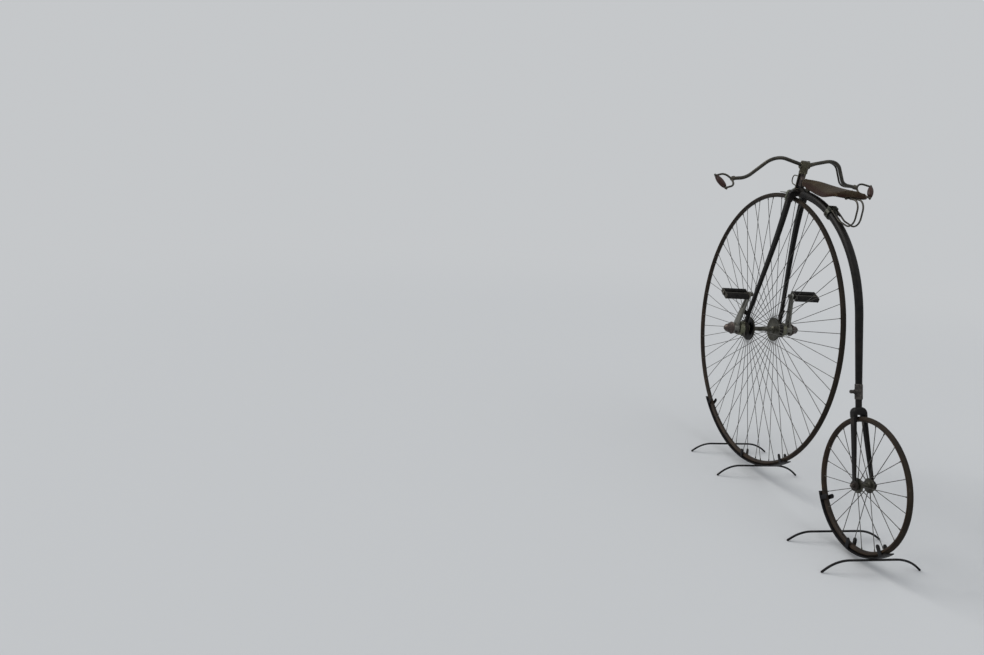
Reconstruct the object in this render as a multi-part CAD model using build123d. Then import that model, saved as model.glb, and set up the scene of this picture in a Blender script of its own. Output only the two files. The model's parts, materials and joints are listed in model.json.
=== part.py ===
from build123d import *
import os
from math import sin, cos, asin, acos, atan2, sqrt, degrees, radians

# A penny farthing bicycle standing in its two display stands.
# Millimetres. +X is forward, +Y is the rider's left, +Z is up, and z = 0 is the floor.
# The origin lies on the floor, midway between the front of the big tyre and the back of the small one.

# Wheels
FRONT_R = 650.0          # big wheel, to the centre of the round tyre
REAR_R = 256.0           # small wheel, to the centre of the round tyre
TYRE_DIA = 20.0
TYRE_SIDES = 10          # of the tyre's nearly round section
WHEELBASE = 922.0
FRONT_LIFT = 40.0        # floor to the bottom of each tyre
REAR_LIFT = 26.0
RIM_WALL = 1.8
RIM_SEAT = 0.2           # cement between tyre and rim

# Front hub, all widths measured from the wheel's middle plane
FRONT_FLANGE_DIA = 115.0
FRONT_FLANGE_Y = 66.0
FLANGE_THICK = 6.0
FLANGE_BOSS = (40.0, 5.0)    # diameter, and how far inwards of the flange
FRONT_AXLE_DIA = 22.0
SPOKE_SINK = 5.0         # how far each spoke goes into its flange
FRONT_SPOKES = 64
SPOKE_DIA = 2.8
SPOKE_RIM_Y = 4.0        # how far from the middle the spokes meet the rim

# Rear hub and axle
REAR_FLANGE_DIA = 58.0
REAR_FLANGE_Y = 24.0
REAR_FLANGE_THICK = 5.0
REAR_BARREL_DIA = 24.0
REAR_AXLE_DIA = 11.0
REAR_SPOKES = 24
REAR_END_Y = 38.0        # middle of each rear fork end
REAR_END_THICK = 7.0
REAR_END_DIA = 40.0
REAR_NUT = (10.0, 9.0)   # corner radius, thickness
REAR_AXLE_OVER = 14.0    # axle outside each fork end

# Steering head and front fork, measured along the steering axis from the front hub
RAKE = 11.5              # the axis leans back by this angle, in degrees
RUNNING_FIT = 0.05       # radial clearance of what turns on a pin
SEAT_FIT = 0.1           # clearance where one fixed piece sits in another
LEG_DROP = 10.0          # tyre's middle to the top of the legs
# columns: share of the legs' height, sideways, depth, width
LEG_ROWS = ((1.0, 35.0, 38.0, 20.0), (0.64, 49.0, 32.0, 17.0), (0.242, 77.0, 26.0, 14.0),
            (0.031, 90.0, 24.0, 13.0))
CROWN_CLEAR = 8.0        # tyre to the underside of the crown
CROWN_THICK = 22.0
CROWN_DEPTH = 36.0
CROWN_HALF = 46.0        # half width, outside and of the opening over the tyre
CROWN_BAY_HALF = 24.0
HEAD_DIA = 36.0
HEAD_HEIGHT = 134.0      # above the crown
HEAD_WALL = 7.0
NECK_GAP = 1.5           # head block to the neck that turns between its blocks
NECK_HEIGHT = 70.0
NECK_DIA = 20.0
NECK_WEB = 16.0          # thickness of the web from the neck back to the tube
NECK_ROOT_DROP = 2.0     # where the web meets the tube, below the crown's top
NECK_ROOT_BACK = 62.0
SPINDLE_DIA = 10.0

# Backbone: one long arc behind the big wheel, then a straight run to the rear crown
BACKBONE_ARC_LESS = 47.0 # how much smaller the arc's radius is than the big tyre's
BACKBONE_ARC_X = -126.5  # arc centre, from the front hub
BACKBONE_ARC_Z = 53.5
BACKBONE_TOP_ANGLE = 95.6    # where the arc starts, seen from its centre
BACKBONE_TOP_DIA = 37.0
BACKBONE_MID_DIA = 31.0  # where the arc meets the straight run
BACKBONE_LOW_DIA = 23.5
REAR_FORK_LEAN = 21.84   # the rear fork leans forward by this angle, in degrees
REAR_CROWN_RISE = 16.3   # small tyre to the middle of the crown
REAR_CROWN_SIZE = (34.0, 60.0, 40.0)
REAR_CROWN_ROUND = (24.0, 8.0)   # radius of the shoulders, and of the edges before and behind
REAR_CLEAR = 6.0         # small tyre to the crown above it
REAR_LEG_CLEAR = 4.5     # small rim to each leg
REAR_LEG_TOP = (30.0, 12.5)  # depth and width
REAR_LEG_MID = (25.0, 11.0)
REAR_LEG_LOW_DEPTH = 20.0

# Cranks and pedals
HOUSING_DIA = 68.0
HOUSING_Y = (76.0, 122.0)
HOUSING_EDGE = 3.0
CRANK_LENGTH = 182.0
CRANK_BACK = 13.0        # both cranks lean back from upright by this angle, in degrees
CRANK_HUB_Y = 139.0
CRANK_DISH = 28.0        # the pedal end stands this much nearer the wheel
CRANK_THICK = 11.0
CRANK_SLOT = 68.0        # between the centres of the slot's ends
CRANK_BOSS_DIA = 54.0
CRANK_BOSS_HALF = 15.0
CRANK_ROOT_R = 21.0      # the blade's round ends, at the hub and at the pedal
CRANK_TIP_R = 13.0
# columns: outwards from the boss, radius
NUT_PROFILE = ((0.0, 30.0), (8.0, 25.0), (30.0, 16.0), (38.0, 8.0), (40.0, 0.0))
PEDAL_LENGTH = 117.0
PEDAL_INNER_Y = 122.0
PEDAL_SPINDLE_DIA = 11.0
PEDAL_BLOCK = (25.0, 24.0)
PEDAL_PLATE = 3.0
PEDAL_BLOCK_SPACING = 40.0
PEDAL_TILT = 20.0

# Handlebar: forward, sideways and up along the axis, from the top of the head
BAR_DIA = 16.0
BAR_MIDDLE = (2.0, 0.0, -20.0)
BAR_HUMP = (0.0, 132.0, 22.0)
BAR_DROP = (46.0, 238.0, -86.0)
BAR_END = (44.0, 304.0, -108.0)
BAR_BENDS = (60.0, 45.0, 45.0)
GRIP_MIDDLE = (16.0, 374.0, -128.0)
GRIP_SPREAD = 78.0
GRIP_WIRE = 9.0
GRIP_LENGTH = 74.0
GRIP_DIA = 27.0
LEVER_DIA = 8.0
LEVER_OUT = (26.0, 0.0, -16.0)   # from the bar's middle line to the lever's
LEVER_START = -20.0
LUG_DIA = 26.0
LUG_HALF = 22.0
SHOE_GAP = 4.0           # brake shoe to the tyre
SHOE_SPAN = (91.5, 99.0) # degrees about the front hub, from straight ahead
SHOE_SIZE = (3.0, 24.0)
SHOE_TIP = 12.0
SHOE_ARM = (95.0, 10.0)  # where the arm stands on the shoe, in degrees, and its diameter
LINK_WIRE = 5.0
LINK_SPAN = (15.0, 62.0) # its ends above the crown
LINK_OUT = 56.0          # how far it curves out in front of the head

# Stands
STRAP_THICK = 4.0
STRAP_GAP = 0.4
STRAP_HALF = 19.0
TAB = (4.0, 18.0, 34.0)  # thickness, width along the strap, height
TAB_CLEAR = 1.2
FOOT_ROD = 9.0
FOOT_HALF = 205.0
FOOT_SHOULDER = 150.0
FOOT_BEND = 55.0
FRONT_STRAP = (-127.0, -48.0)   # degrees about the hub, from straight ahead
FRONT_FEET = (138.0, -167.0)    # forward of the hub
FRONT_TABS = (-124.0, -92.0, -52.0)
REAR_STRAP = (-139.0, -29.0)
REAR_FEET = (112.0, -129.0)
REAR_TABS = (-132.0, -88.0, -35.0)

# Saddle, lengths measured forwards from the middle of the fork crown and heights from the top of the big tyre
# columns: forward, half width, top, skirt depth, crown
SADDLE_ROWS = ((-38.4, 19.0, 71.0, 38.0, 10.0), (-152.4, 26.0, 65.0, 46.0, 12.0),
               (-262.4, 52.0, 50.0, 44.0, 16.0), (-352.4, 84.0, 40.0, 34.0, 17.0),
               (-407.4, 80.0, 38.0, 24.0, 15.0))
SADDLE_TAIL = (88.0, 46.0)   # half width of the outline that rounds the tail, and its corner radius
SADDLE_SKIN = 5.0
LEATHER_GAP = 0.3        # leather to the steel that carries it
NOSE_BLOCK_X = -77.4
NOSE_BLOCK_DROP = 14.0   # below the leather
TAIL_PLATE_X = -384.4
TAIL_PLATE_UP = 20.0
RAIL_WIRE = 7.0
SPRING_WIRE = 7.0
SPRING_HALF = 12.0       # each wire from the middle plane
CLAMP_X = -275.4         # the saddle clamp on the backbone
CLAMP_WALL = 5.0
# columns: forward, up
SPRING_TOP = ((-377.4, 8.0), (-474.4, 0.0))
# columns: out from the middle of the tube at the clamp, along the tube
SPRING_LOW = ((41.9, -187.1), (20.0, -87.9), (27.3, 5.4))
SPRING_BENDS = (36.0, 42.0, 60.0)
WING = (9.0, 6.0, 40.0)

# Mounting step, widths measured from the middle of the backbone
STEP_ALONG = 80.0        # along the straight run of the backbone, up from the crown
STEP_BAND = (3.3, 60.0)  # thickness, width
STEP_DIA = 14.0
STEP_SHOULDER_DIA = 19.0
STEP_SEAT_Y = 19.0       # flat face of the shoulder
STEP_END_Y = 37.0

TYRE_R = TYRE_DIA / 2
FRONT_OUT = FRONT_R + TYRE_R
REAR_OUT = REAR_R + TYRE_R
LEG_TOP = FRONT_R - LEG_DROP
CROWN_TOP = FRONT_OUT + CROWN_CLEAR + CROWN_THICK
HEAD_TOP = CROWN_TOP + HEAD_HEIGHT
BACKBONE_ARC_R = FRONT_OUT - BACKBONE_ARC_LESS
REAR_REACH = REAR_OUT + REAR_CROWN_RISE
RIM_HALF = TYRE_R + RIM_SEAT + RIM_WALL
FRONT_HUB = Vector((WHEELBASE + REAR_OUT - FRONT_OUT) / 2, 0, FRONT_LIFT + FRONT_OUT)
REAR_HUB = Vector(FRONT_HUB.X - WHEELBASE, 0, REAR_LIFT + REAR_OUT)

# Local frames: the steering axis is the Z of STEER, and the wheel frames sit on the hubs
LEAN = radians(RAKE)
REAR_LEAN = radians(REAR_FORK_LEAN)
CROWN_X = -CROWN_TOP * sin(LEAN)     # middle of the fork crown, from the front hub
STEER = Plane(origin=FRONT_HUB, x_dir=(cos(LEAN), 0, sin(LEAN)), z_dir=(-sin(LEAN), 0, cos(LEAN)))
AT_FRONT = Pos(FRONT_HUB.X, FRONT_HUB.Y, FRONT_HUB.Z)
AT_REAR = Pos(REAR_HUB.X, REAR_HUB.Y, REAR_HUB.Z)
SIDES = (("left", 1), ("right", -1))
LOW = (Align.CENTER, Align.CENTER, Align.MIN)


def across(diameter, y0, y1, x=0.0, z=0.0):
    """A round bar along Y between two widths."""
    return Pos(x, y0, z) * Rot(-90, 0, 0) * Cylinder(diameter / 2, y1 - y0, align=LOW)


def bar(p0, p1, diameter):
    """A round bar between two points."""
    start = Vector(*p0)
    run = Vector(*p1) - start
    return Plane(origin=start, z_dir=run) * Cylinder(diameter / 2, run.length, align=LOW)


def round_rod(path, diameter):
    """A wire of round section along a path."""
    section = Plane(origin=path @ 0, z_dir=path % 0) * Circle(diameter / 2)
    return sweep(section, path=path)


def polar(radius, angle):
    """A point in the middle plane, by its angle from straight ahead, upwards."""
    return Vector(cos(radians(angle)), 0, sin(radians(angle))) * radius


def ring(profile, start=0.0, angle=360.0):
    """Turns a profile (x is the radius, y the width) about the hub; start is measured from ahead, upwards."""
    return Rot(0, -start, 0) * revolve(profile, Axis.Y, -angle)


# Wheels

def tyre(radius):
    return ring(Pos(radius, 0) * RegularPolygon(TYRE_R, TYRE_SIDES))


def rim(radius):
    inner = TYRE_R + RIM_SEAT
    outer = inner + RIM_WALL
    shell = Circle(outer) - Circle(inner) - Pos(outer, 0) * Rectangle(2 * outer, 3 * outer)
    return ring(Pos(radius, 0) * shell)


def spokes(count, flange_dia, flange_y, radius, carriers):
    """Radial spokes from the flange edges to the rim, by turns to the left and the right flange."""
    reach = radius - TYRE_R - RIM_SEAT - RIM_WALL / 2
    wires = []
    for i in range(count):
        side = 1 if i % 2 else -1
        turn = Rot(0, 360.0 * i / count, 0)
        wire = bar((flange_dia / 2 - SPOKE_SINK, side * flange_y, 0), (reach, side * SPOKE_RIM_Y, 0), SPOKE_DIA)
        wires.append(turn * wire)
    cut = Part() + wires
    for carrier in carriers:
        cut -= carrier
    return cut


def front_hub():
    """Thin axle with two wide flanges; the cranks sit on its ends."""
    shape = across(FRONT_AXLE_DIA, -CRANK_HUB_Y - 8, CRANK_HUB_Y + 8)
    for _, side in SIDES:
        y = side * FRONT_FLANGE_Y
        shape += across(FRONT_FLANGE_DIA, y - FLANGE_THICK / 2, y + FLANGE_THICK / 2)
        boss_dia, inwards = FLANGE_BOSS
        shape += across(boss_dia, *sorted((y, y - side * (FLANGE_THICK / 2 + inwards))))
    return shape


def rear_hub():
    barrel = across(REAR_BARREL_DIA, -REAR_FLANGE_Y - 5, REAR_FLANGE_Y + 5)
    for _, side in SIDES:
        y = side * REAR_FLANGE_Y
        barrel += across(REAR_FLANGE_DIA, y - REAR_FLANGE_THICK / 2, y + REAR_FLANGE_THICK / 2)
    return barrel - across(REAR_AXLE_DIA + 2 * RUNNING_FIT, -60, 60)


# Cranks and pedals, made for the left and mirrored

def crank():
    """Flat slotted crank that leans in towards the wheel, on a round boss."""
    outline = make_hull([Circle(CRANK_ROOT_R).edge(), (Pos(CRANK_LENGTH, 0) * Circle(CRANK_TIP_R)).edge()])
    blade = Rot(0, degrees(asin(CRANK_DISH / CRANK_LENGTH)), 0) * extrude(outline, CRANK_THICK / 2, both=True)
    slot = SlotCenterToCenter(CRANK_SLOT, PEDAL_SPINDLE_DIA + 2 * SEAT_FIT)
    blade -= Pos(crank_reach() - CRANK_SLOT / 2, 0) * extrude(slot, CRANK_HUB_Y / 2, both=True)
    boss = Cylinder(CRANK_BOSS_DIA / 2, 2 * CRANK_BOSS_HALF)
    blade = blade + boss - Cylinder(FRONT_AXLE_DIA / 2 + SEAT_FIT, 60)
    # the blade's X runs up the crank and its Z points outwards
    return Plane(origin=(0, CRANK_HUB_Y, 0), x_dir=crank_way(), z_dir=(0, 1, 0)) * blade


def crank_way():
    back = radians(CRANK_BACK)
    return (-sin(back), 0, cos(back))


def crank_reach():
    """From the hub's axis to the pedal's; the dish shortens it a little."""
    return sqrt(CRANK_LENGTH ** 2 - CRANK_DISH ** 2)


def pedal_centre():
    way = crank_way()
    return way[0] * crank_reach(), way[2] * crank_reach()


def crank_nut():
    """Long tapered nut outside the crank boss."""
    corners = [(radius, out) for out, radius in NUT_PROFILE]
    profile = make_face(Polyline((0, 0), *corners, close=True))
    return Pos(0, CRANK_HUB_Y + CRANK_BOSS_HALF, 0) * revolve(profile, Axis.Y, 360)


def pedal_spindle():
    x, z = pedal_centre()
    inner = CRANK_HUB_Y - CRANK_DISH - CRANK_THICK / 2 - 3
    outer = PEDAL_INNER_Y + PEDAL_LENGTH + 3
    pin = across(PEDAL_SPINDLE_DIA, inner, outer, x, z)
    pin += across(20, inner - 8, inner, x, z)
    return pin + across(17, outer, outer + 4, x, z)


def pedal_frame():
    """Centre tube and two end plates."""
    x, z = pedal_centre()
    far = PEDAL_INNER_Y + PEDAL_LENGTH
    shape = across(PEDAL_SPINDLE_DIA + 6, PEDAL_INNER_Y, far)
    plate = RectangleRounded(PEDAL_BLOCK_SPACING + PEDAL_BLOCK[0], PEDAL_BLOCK[1], 6)
    for y in (PEDAL_INNER_Y, far - PEDAL_PLATE):
        shape += Pos(0, y, 0) * Rot(-90, 0, 0) * extrude(plate, PEDAL_PLATE)
    shape -= across(PEDAL_SPINDLE_DIA + 2 * RUNNING_FIT, PEDAL_INNER_Y - 5, far + 5)
    return Pos(x, 0, z) * Rot(0, PEDAL_TILT, 0) * shape


def pedal_rubbers():
    """Two rubber blocks between the end plates."""
    x, z = pedal_centre()
    length = PEDAL_LENGTH - 2 * (PEDAL_PLATE + SEAT_FIT)
    block = RectangleRounded(PEDAL_BLOCK[0] - 4, PEDAL_BLOCK[1], 5)
    one = Pos(0, PEDAL_INNER_Y + PEDAL_PLATE + SEAT_FIT, 0) * Rot(-90, 0, 0) * extrude(block, length)
    pair = Part() + [Pos(s * PEDAL_BLOCK_SPACING / 2, 0, 0) * one for s in (-1, 1)]
    return Pos(x, 0, z) * Rot(0, PEDAL_TILT, 0) * pair


# Front fork and steering head, in the steering frame: X forward, Z up the axis

def fork_leg(side):
    """Tapered blade, bowed outwards to the hub bearing."""
    faces = [Pos(0, side * y, share * LEG_TOP) * SlotOverall(depth, width)
             for share, y, depth, width in LEG_ROWS]
    return loft(faces) - housing_bar(side)


def housing_bar(side):
    y0, y1 = sorted((side * HOUSING_Y[0], side * HOUSING_Y[1]))
    return across(HOUSING_DIA + 2 * SEAT_FIT, y0 - 20, y1 + 20)


def bearing_housing(side):
    y0, y1 = sorted((side * HOUSING_Y[0], side * HOUSING_Y[1]))
    body = across(HOUSING_DIA, y0, y1)
    body = chamfer(body.edges().filter_by(GeomType.CIRCLE), HOUSING_EDGE)
    return body - across(FRONT_AXLE_DIA + 2 * RUNNING_FIT, y0 - 5, y1 + 5)


def fork_crown():
    """Arch over the tyre that joins the two legs and carries the head."""
    under = CROWN_TOP - CROWN_THICK
    outer = Pos(0, (LEG_TOP + CROWN_TOP) / 2) * RectangleRounded(2 * CROWN_HALF, CROWN_TOP - LEG_TOP, 14)
    outer += Pos(0, LEG_TOP + 10) * Rectangle(2 * CROWN_HALF, 20)
    inner = Pos(0, (LEG_TOP - 60 + under) / 2) * RectangleRounded(2 * CROWN_BAY_HALF, under - LEG_TOP + 60, 20)
    face = Plane.YZ * (outer - inner)
    return extrude(face, CROWN_DEPTH / 2, both=True)


def neck_span():
    low = CROWN_TOP + HEAD_WALL + NECK_GAP
    return low, low + NECK_HEIGHT


def steering_head():
    """Column open at the back, with a block above and below the neck that turns between them."""
    low, high = neck_span()
    radius = HEAD_DIA / 2
    x, _, z = from_head(BAR_MIDDLE)
    shape = Pos(0, 0, CROWN_TOP) * Cylinder(radius, HEAD_HEIGHT, align=LOW)
    bay = high - low + 2 * NECK_GAP
    shape -= Pos(0, 0, low - NECK_GAP) * Cylinder(NECK_DIA / 2 + 2, bay, align=LOW)
    shape -= Pos(-radius, 0, low - NECK_GAP) * Box(2 * radius, 60, bay, align=LOW)
    shape += across(LUG_DIA, -LUG_HALF, LUG_HALF, x, z)
    shape += bar((x, LEVER_START, z), lever_pivot(), 12)
    hole = Cylinder(SPINDLE_DIA / 2 + RUNNING_FIT, spindle_top() - CROWN_TOP, align=LOW)
    shape -= Pos(0, 0, CROWN_TOP + 1) * hole
    return shape - bar_clearance() - Pos(*lever_pivot()) * Sphere(LEVER_DIA / 2 + 2 + SEAT_FIT)


def from_head(point):
    """A point given from the top of the head, in the steering frame."""
    x, y, z = point
    return x, y, HEAD_TOP + z


def spindle_top():
    return from_head(BAR_MIDDLE)[2] - LUG_DIA / 2 - 4


def lever_pivot():
    x, _, z = from_head(BAR_MIDDLE)
    return x + LEVER_OUT[0], LEVER_START, z + LEVER_OUT[2]


def bar_clearance():
    return round_rod(bar_path(), BAR_DIA + 2 * SEAT_FIT)


# Handlebar

def bar_points(side):
    return [from_head((x, side * y, z)) for x, y, z in (BAR_HUMP, BAR_DROP, BAR_END)]


def bar_path():
    left = bar_points(1)
    right = bar_points(-1)
    points = right[::-1] + [from_head(BAR_MIDDLE)] + left
    bends = (BAR_BENDS[1], BAR_BENDS[0], BAR_BENDS[2], BAR_BENDS[0], BAR_BENDS[1])
    return FilletPolyline(*points, radius=list(bends))


def handlebar():
    return round_rod(bar_path(), BAR_DIA)


def grip_frame(side):
    """Frame at the grip: X along the wooden bar, Z outwards from the handlebar's end."""
    end, middle = [Vector(*from_head((x, side * y, z))) for x, y, z in (BAR_END, GRIP_MIDDLE)]
    out = middle - end
    ahead = Vector(1, 0, 0.25)
    ahead -= out * (ahead.dot(out) / out.length ** 2)
    return Plane(origin=end, x_dir=ahead, z_dir=out), out.length


def grip_loop(side):
    """Metal D at the bar's end that holds the wooden grip."""
    place, reach = grip_frame(side)
    half = GRIP_SPREAD / 2
    root = GRIP_WIRE / 2 + 4
    path = FilletPolyline((-half, 0, reach), (-half, 0, root + 12), (0, 0, root), (half, 0, root + 12),
                          (half, 0, reach), radius=[12, 30, 12])
    loop = round_rod(path, GRIP_WIRE)
    loop += Pos(0, 0, -8) * Cylinder(BAR_DIA / 2 + 2.5, 20, align=LOW)
    for s in (-1, 1):
        loop += Pos(s * half, 0, reach) * Sphere(GRIP_WIRE / 2 + 2)
    loop += Pos(-half, 0, reach) * Rot(0, 90, 0) * Cylinder(3, 2 * half, align=LOW)
    return place * loop - bar_clearance()


def wood_grip(side):
    """Barrel-shaped wooden grip across the mouth of the D."""
    place, reach = grip_frame(side)
    half = GRIP_SPREAD / 2 - GRIP_WIRE / 2 - 2.3
    big, small = GRIP_DIA / 2, GRIP_DIA / 2 - 5
    top = ThreePointArc((-half, small), (0, big), (half, small))
    outline = make_face([top, Line((half, small), (half, 3 + SEAT_FIT)),
                         Line((half, 3 + SEAT_FIT), (-half, 3 + SEAT_FIT)),
                         Line((-half, 3 + SEAT_FIT), (-half, small))])
    return place * Pos(0, 0, reach) * revolve(outline, Axis.X, 360)


def brake_lever():
    """Thin lever along the front of the right half of the handlebar."""
    out = Vector(*LEVER_OUT)
    points = [Vector(x, y, z) + out for x, y, z in bar_points(-1)]
    start = Vector(*lever_pivot())
    path = FilletPolyline(start, *points, radius=list(BAR_BENDS[:2]))
    lever = round_rod(path, LEVER_DIA)
    return lever + Pos(*start) * Sphere(LEVER_DIA / 2 + 2)


def brake_spoon():
    """Curved shoe over the tyre, turned up at its front, with its arm to a boss on the head."""
    thick, width = SHOE_SIZE
    inner = FRONT_OUT + SHOE_GAP
    start, end = SHOE_SPAN
    shoe = ring(Pos(inner + thick / 2, 0) * Rectangle(thick, width), start, end - start)
    tip = Box(thick, width, SHOE_TIP, align=(Align.CENTER, Align.CENTER, Align.MAX))
    shoe += Rot(0, -start, 0) * Pos(inner + thick / 2, 0, 0.5) * tip
    angle, arm_dia = SHOE_ARM
    head = STEER.from_local_coords(Vector(HEAD_DIA / 2 + 3, 0, CROWN_TOP + 9)) - FRONT_HUB
    return shoe + bar(polar(inner + thick, angle), head, arm_dia)


def brake_link():
    """Thin curved wire in front of the head, from the brake's arm up to the column."""
    face = HEAD_DIA / 2
    low, high = [CROWN_TOP + rise for rise in LINK_SPAN]
    path = FilletPolyline((face, 0, high), (face + LINK_OUT - 4, 0, high - 4), (face + LINK_OUT, 0, low + 6),
                          (face, 0, low), radius=[18, 18])
    return round_rod(path, LINK_WIRE)


# Stands

def strap(radius, start, end):
    """Flat bar that follows the tyre underneath."""
    inner = radius + TYRE_R + STRAP_GAP
    flat = Pos(inner + STRAP_THICK / 2, 0) * Rectangle(STRAP_THICK, 2 * STRAP_HALF)
    return ring(flat, start, end - start)


def stand_tab(radius, angle, side):
    """Upright tab beside the tyre, rounded at its top."""
    thick, width, height = TAB
    inner = radius + TYRE_R + STRAP_GAP
    y = RIM_HALF + TAB_CLEAR + thick / 2
    plate = Pos(-height / 2, 0) * Rectangle(height, width) + Pos(-height, 0) * Circle(width / 2)
    tab = Pos(inner + 1, side * y, 0) * Rot(90, 0, 0) * extrude(plate, thick / 2, both=True)
    return Rot(0, -angle, 0) * tab


def cradle(radius, span, tabs):
    shape = strap(radius, *span)
    for angle in tabs:
        for _, side in SIDES:
            shape += stand_tab(radius, angle, side)
    return shape


def foot(hub, radius, x):
    """Bent rod across the strap whose turned-down ends stand on the floor."""
    r = FOOT_ROD / 2
    reach = radius + TYRE_R + STRAP_GAP + STRAP_THICK + r + SEAT_FIT
    height = hub.Z - sqrt(reach ** 2 - x ** 2)
    path = FilletPolyline((0, -FOOT_HALF, r), (0, -FOOT_SHOULDER, height), (0, FOOT_SHOULDER, height),
                          (0, FOOT_HALF, r), radius=FOOT_BEND)
    rod = round_rod(path, FOOT_ROD)
    for _, side in SIDES:
        rod += Pos(0, side * FOOT_HALF, r) * Sphere(r)
    return Pos(hub.X + x, 0, 0) * rod


def feet(hub, radius, places):
    return Part() + [foot(hub, radius, x) for x in places]


# Frame

def near_front(x, z, y=0.0):
    """A point given from the front hub."""
    return FRONT_HUB + Vector(x, y, z)


def near_crown(x, up):
    """A point above the fork crown, given by its distance forwards and its height over the big tyre."""
    return near_front(CROWN_X + x, FRONT_OUT + up)


def backbone_solid(extra=0.0):
    """Arc from the neck down behind the big wheel, then the tangent line to the rear crown."""
    centre = near_front(BACKBONE_ARC_X, BACKBONE_ARC_Z)
    low = REAR_HUB + Vector(sin(REAR_LEAN), 0, cos(REAR_LEAN)) * REAR_REACH
    gap = centre - low
    reach = sqrt(gap.X ** 2 + gap.Z ** 2)
    touch_angle = degrees(atan2(-gap.Z, -gap.X) - acos(BACKBONE_ARC_R / reach)) % 360
    top = centre + polar(BACKBONE_ARC_R, BACKBONE_TOP_ANGLE)
    middle = centre + polar(BACKBONE_ARC_R, (BACKBONE_TOP_ANGLE + touch_angle) / 2)
    touch = centre + polar(BACKBONE_ARC_R, touch_angle)
    path = Wire([ThreePointArc(top, middle, touch).edge(), Line(touch, low).edge()])
    sections = []
    for point, way, diameter in ((top, path % 0, BACKBONE_TOP_DIA), (touch, low - touch, BACKBONE_MID_DIA),
                                 (low, low - touch, BACKBONE_LOW_DIA)):
        sections.append(Plane(origin=point, z_dir=way) * Circle(diameter / 2 + extra))
    return sweep(sections, path=path, multisection=True), touch, low


def neck():
    """Neck of the backbone: barrel and spindle on the steering axis, with the web back to the tube."""
    low, high = neck_span()
    barrel = Pos(0, 0, low) * Cylinder(NECK_DIA / 2, high - low, align=LOW)
    spindle = Pos(0, 0, CROWN_TOP + 2) * Cylinder(SPINDLE_DIA / 2, spindle_top() - CROWN_TOP - 2, align=LOW)
    root = CROWN_TOP - NECK_ROOT_DROP
    web = Polyline((-4, low), (-4, high - 6), (-12, high - 10), (-27, root + 24), (-NECK_ROOT_BACK, root + 19),
                   (-NECK_ROOT_BACK, root - 16), (-45, root - 16), (-34, low - 2), (-20, low), close=True)
    web = extrude(Plane.XZ * make_face(web), NECK_WEB / 2, both=True)
    return barrel + spindle + web


def rear_frame():
    """The rear fork's own frame: on the rear hub, with Z towards the crown."""
    return Plane(origin=REAR_HUB, x_dir=(cos(REAR_LEAN), 0, -sin(REAR_LEAN)),
                 z_dir=(sin(REAR_LEAN), 0, cos(REAR_LEAN)))


def rear_crown():
    """Crown with round shoulders above the small tyre, hollowed to clear it."""
    depth, width, height = REAR_CROWN_SIZE
    shoulder, edge = REAR_CROWN_ROUND
    outline = Rectangle(width, height)
    outline = fillet(outline.vertices().sort_by(Axis.Y)[-2:], shoulder)
    block = extrude(Plane.YZ * outline, depth / 2, both=True)
    rims = [e for face in block.faces().filter_by(Axis.X) for e in face.edges() if e.center().Z > 1 - height / 2]
    block = Pos(0, 0, REAR_REACH) * fillet(rims, edge)
    half = RIM_HALF + REAR_LEG_CLEAR
    return block - across(2 * (REAR_OUT + REAR_CLEAR), -half, half)


def rear_leg(side):
    """Tapered blade from the crown's underside to an eye on the axle."""
    reach = REAR_REACH - REAR_CROWN_SIZE[2] / 2 - SEAT_FIT
    top_y = RIM_HALF + REAR_LEG_CLEAR + REAR_LEG_TOP[1] / 2 + 0.25
    # columns: distance from the hub, sideways, depth, width
    sections = ((reach, top_y, *REAR_LEG_TOP), (reach / 2, (top_y + REAR_END_Y) / 2, *REAR_LEG_MID),
                (REAR_END_DIA / 2 - 4, REAR_END_Y, REAR_LEG_LOW_DEPTH, REAR_END_THICK))
    blade = loft([Pos(0, side * y, t) * SlotOverall(depth, width) for t, y, depth, width in sections])
    y0, y1 = sorted((side * (REAR_END_Y - REAR_END_THICK / 2), side * (REAR_END_Y + REAR_END_THICK / 2)))
    eye = across(REAR_END_DIA, y0, y1)
    return blade + eye - across(REAR_AXLE_DIA + 2 * SEAT_FIT, -60, 60)


def rear_axle():
    """Axle through the fork ends with a nut on each end."""
    end = REAR_END_Y + REAR_END_THICK / 2
    shape = across(REAR_AXLE_DIA, -end - REAR_AXLE_OVER, end + REAR_AXLE_OVER)
    nut = extrude(RegularPolygon(REAR_NUT[0], 6), REAR_NUT[1])
    for _, side in SIDES:
        shape += Pos(0, side * (end + SEAT_FIT), 0) * Rot(-90 * side, 0, 0) * nut
        collar = sorted((side * (REAR_FLANGE_Y + 5.5), side * (REAR_END_Y - REAR_END_THICK / 2 - SEAT_FIT)))
        shape += across(REAR_AXLE_DIA + 7, *collar)
    return shape


def step(touch, low):
    """Mounting step: a band round the backbone with a shouldered round peg to the left."""
    way = (touch - low).normalized()
    place = Plane(origin=low + way * STEP_ALONG, x_dir=(way.Z, 0, -way.X), z_dir=way)
    wall, width = STEP_BAND
    shape = Cylinder(BACKBONE_LOW_DIA / 2 + wall, width)
    shape += across(STEP_SHOULDER_DIA, 0, STEP_SEAT_Y)
    return place * (shape + across(STEP_DIA, 0, STEP_END_Y))


# Saddle

def saddle_section(x, half, top, depth, crown):
    """Skirted cross-section: straight sides below a crowned top."""
    place = near_crown(x, top)
    z = place.Z
    edges = [Line((-half, z - depth), (-half, z - crown)),
             ThreePointArc((-half, z - crown), (0, z), (half, z - crown)),
             Line((half, z - crown), (half, z - depth)),
             Line((half, z - depth), (-half, z - depth))]
    return Plane(origin=(place.X, 0, 0), x_dir=(0, 1, 0), z_dir=(1, 0, 0)) * make_face(edges)


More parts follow.
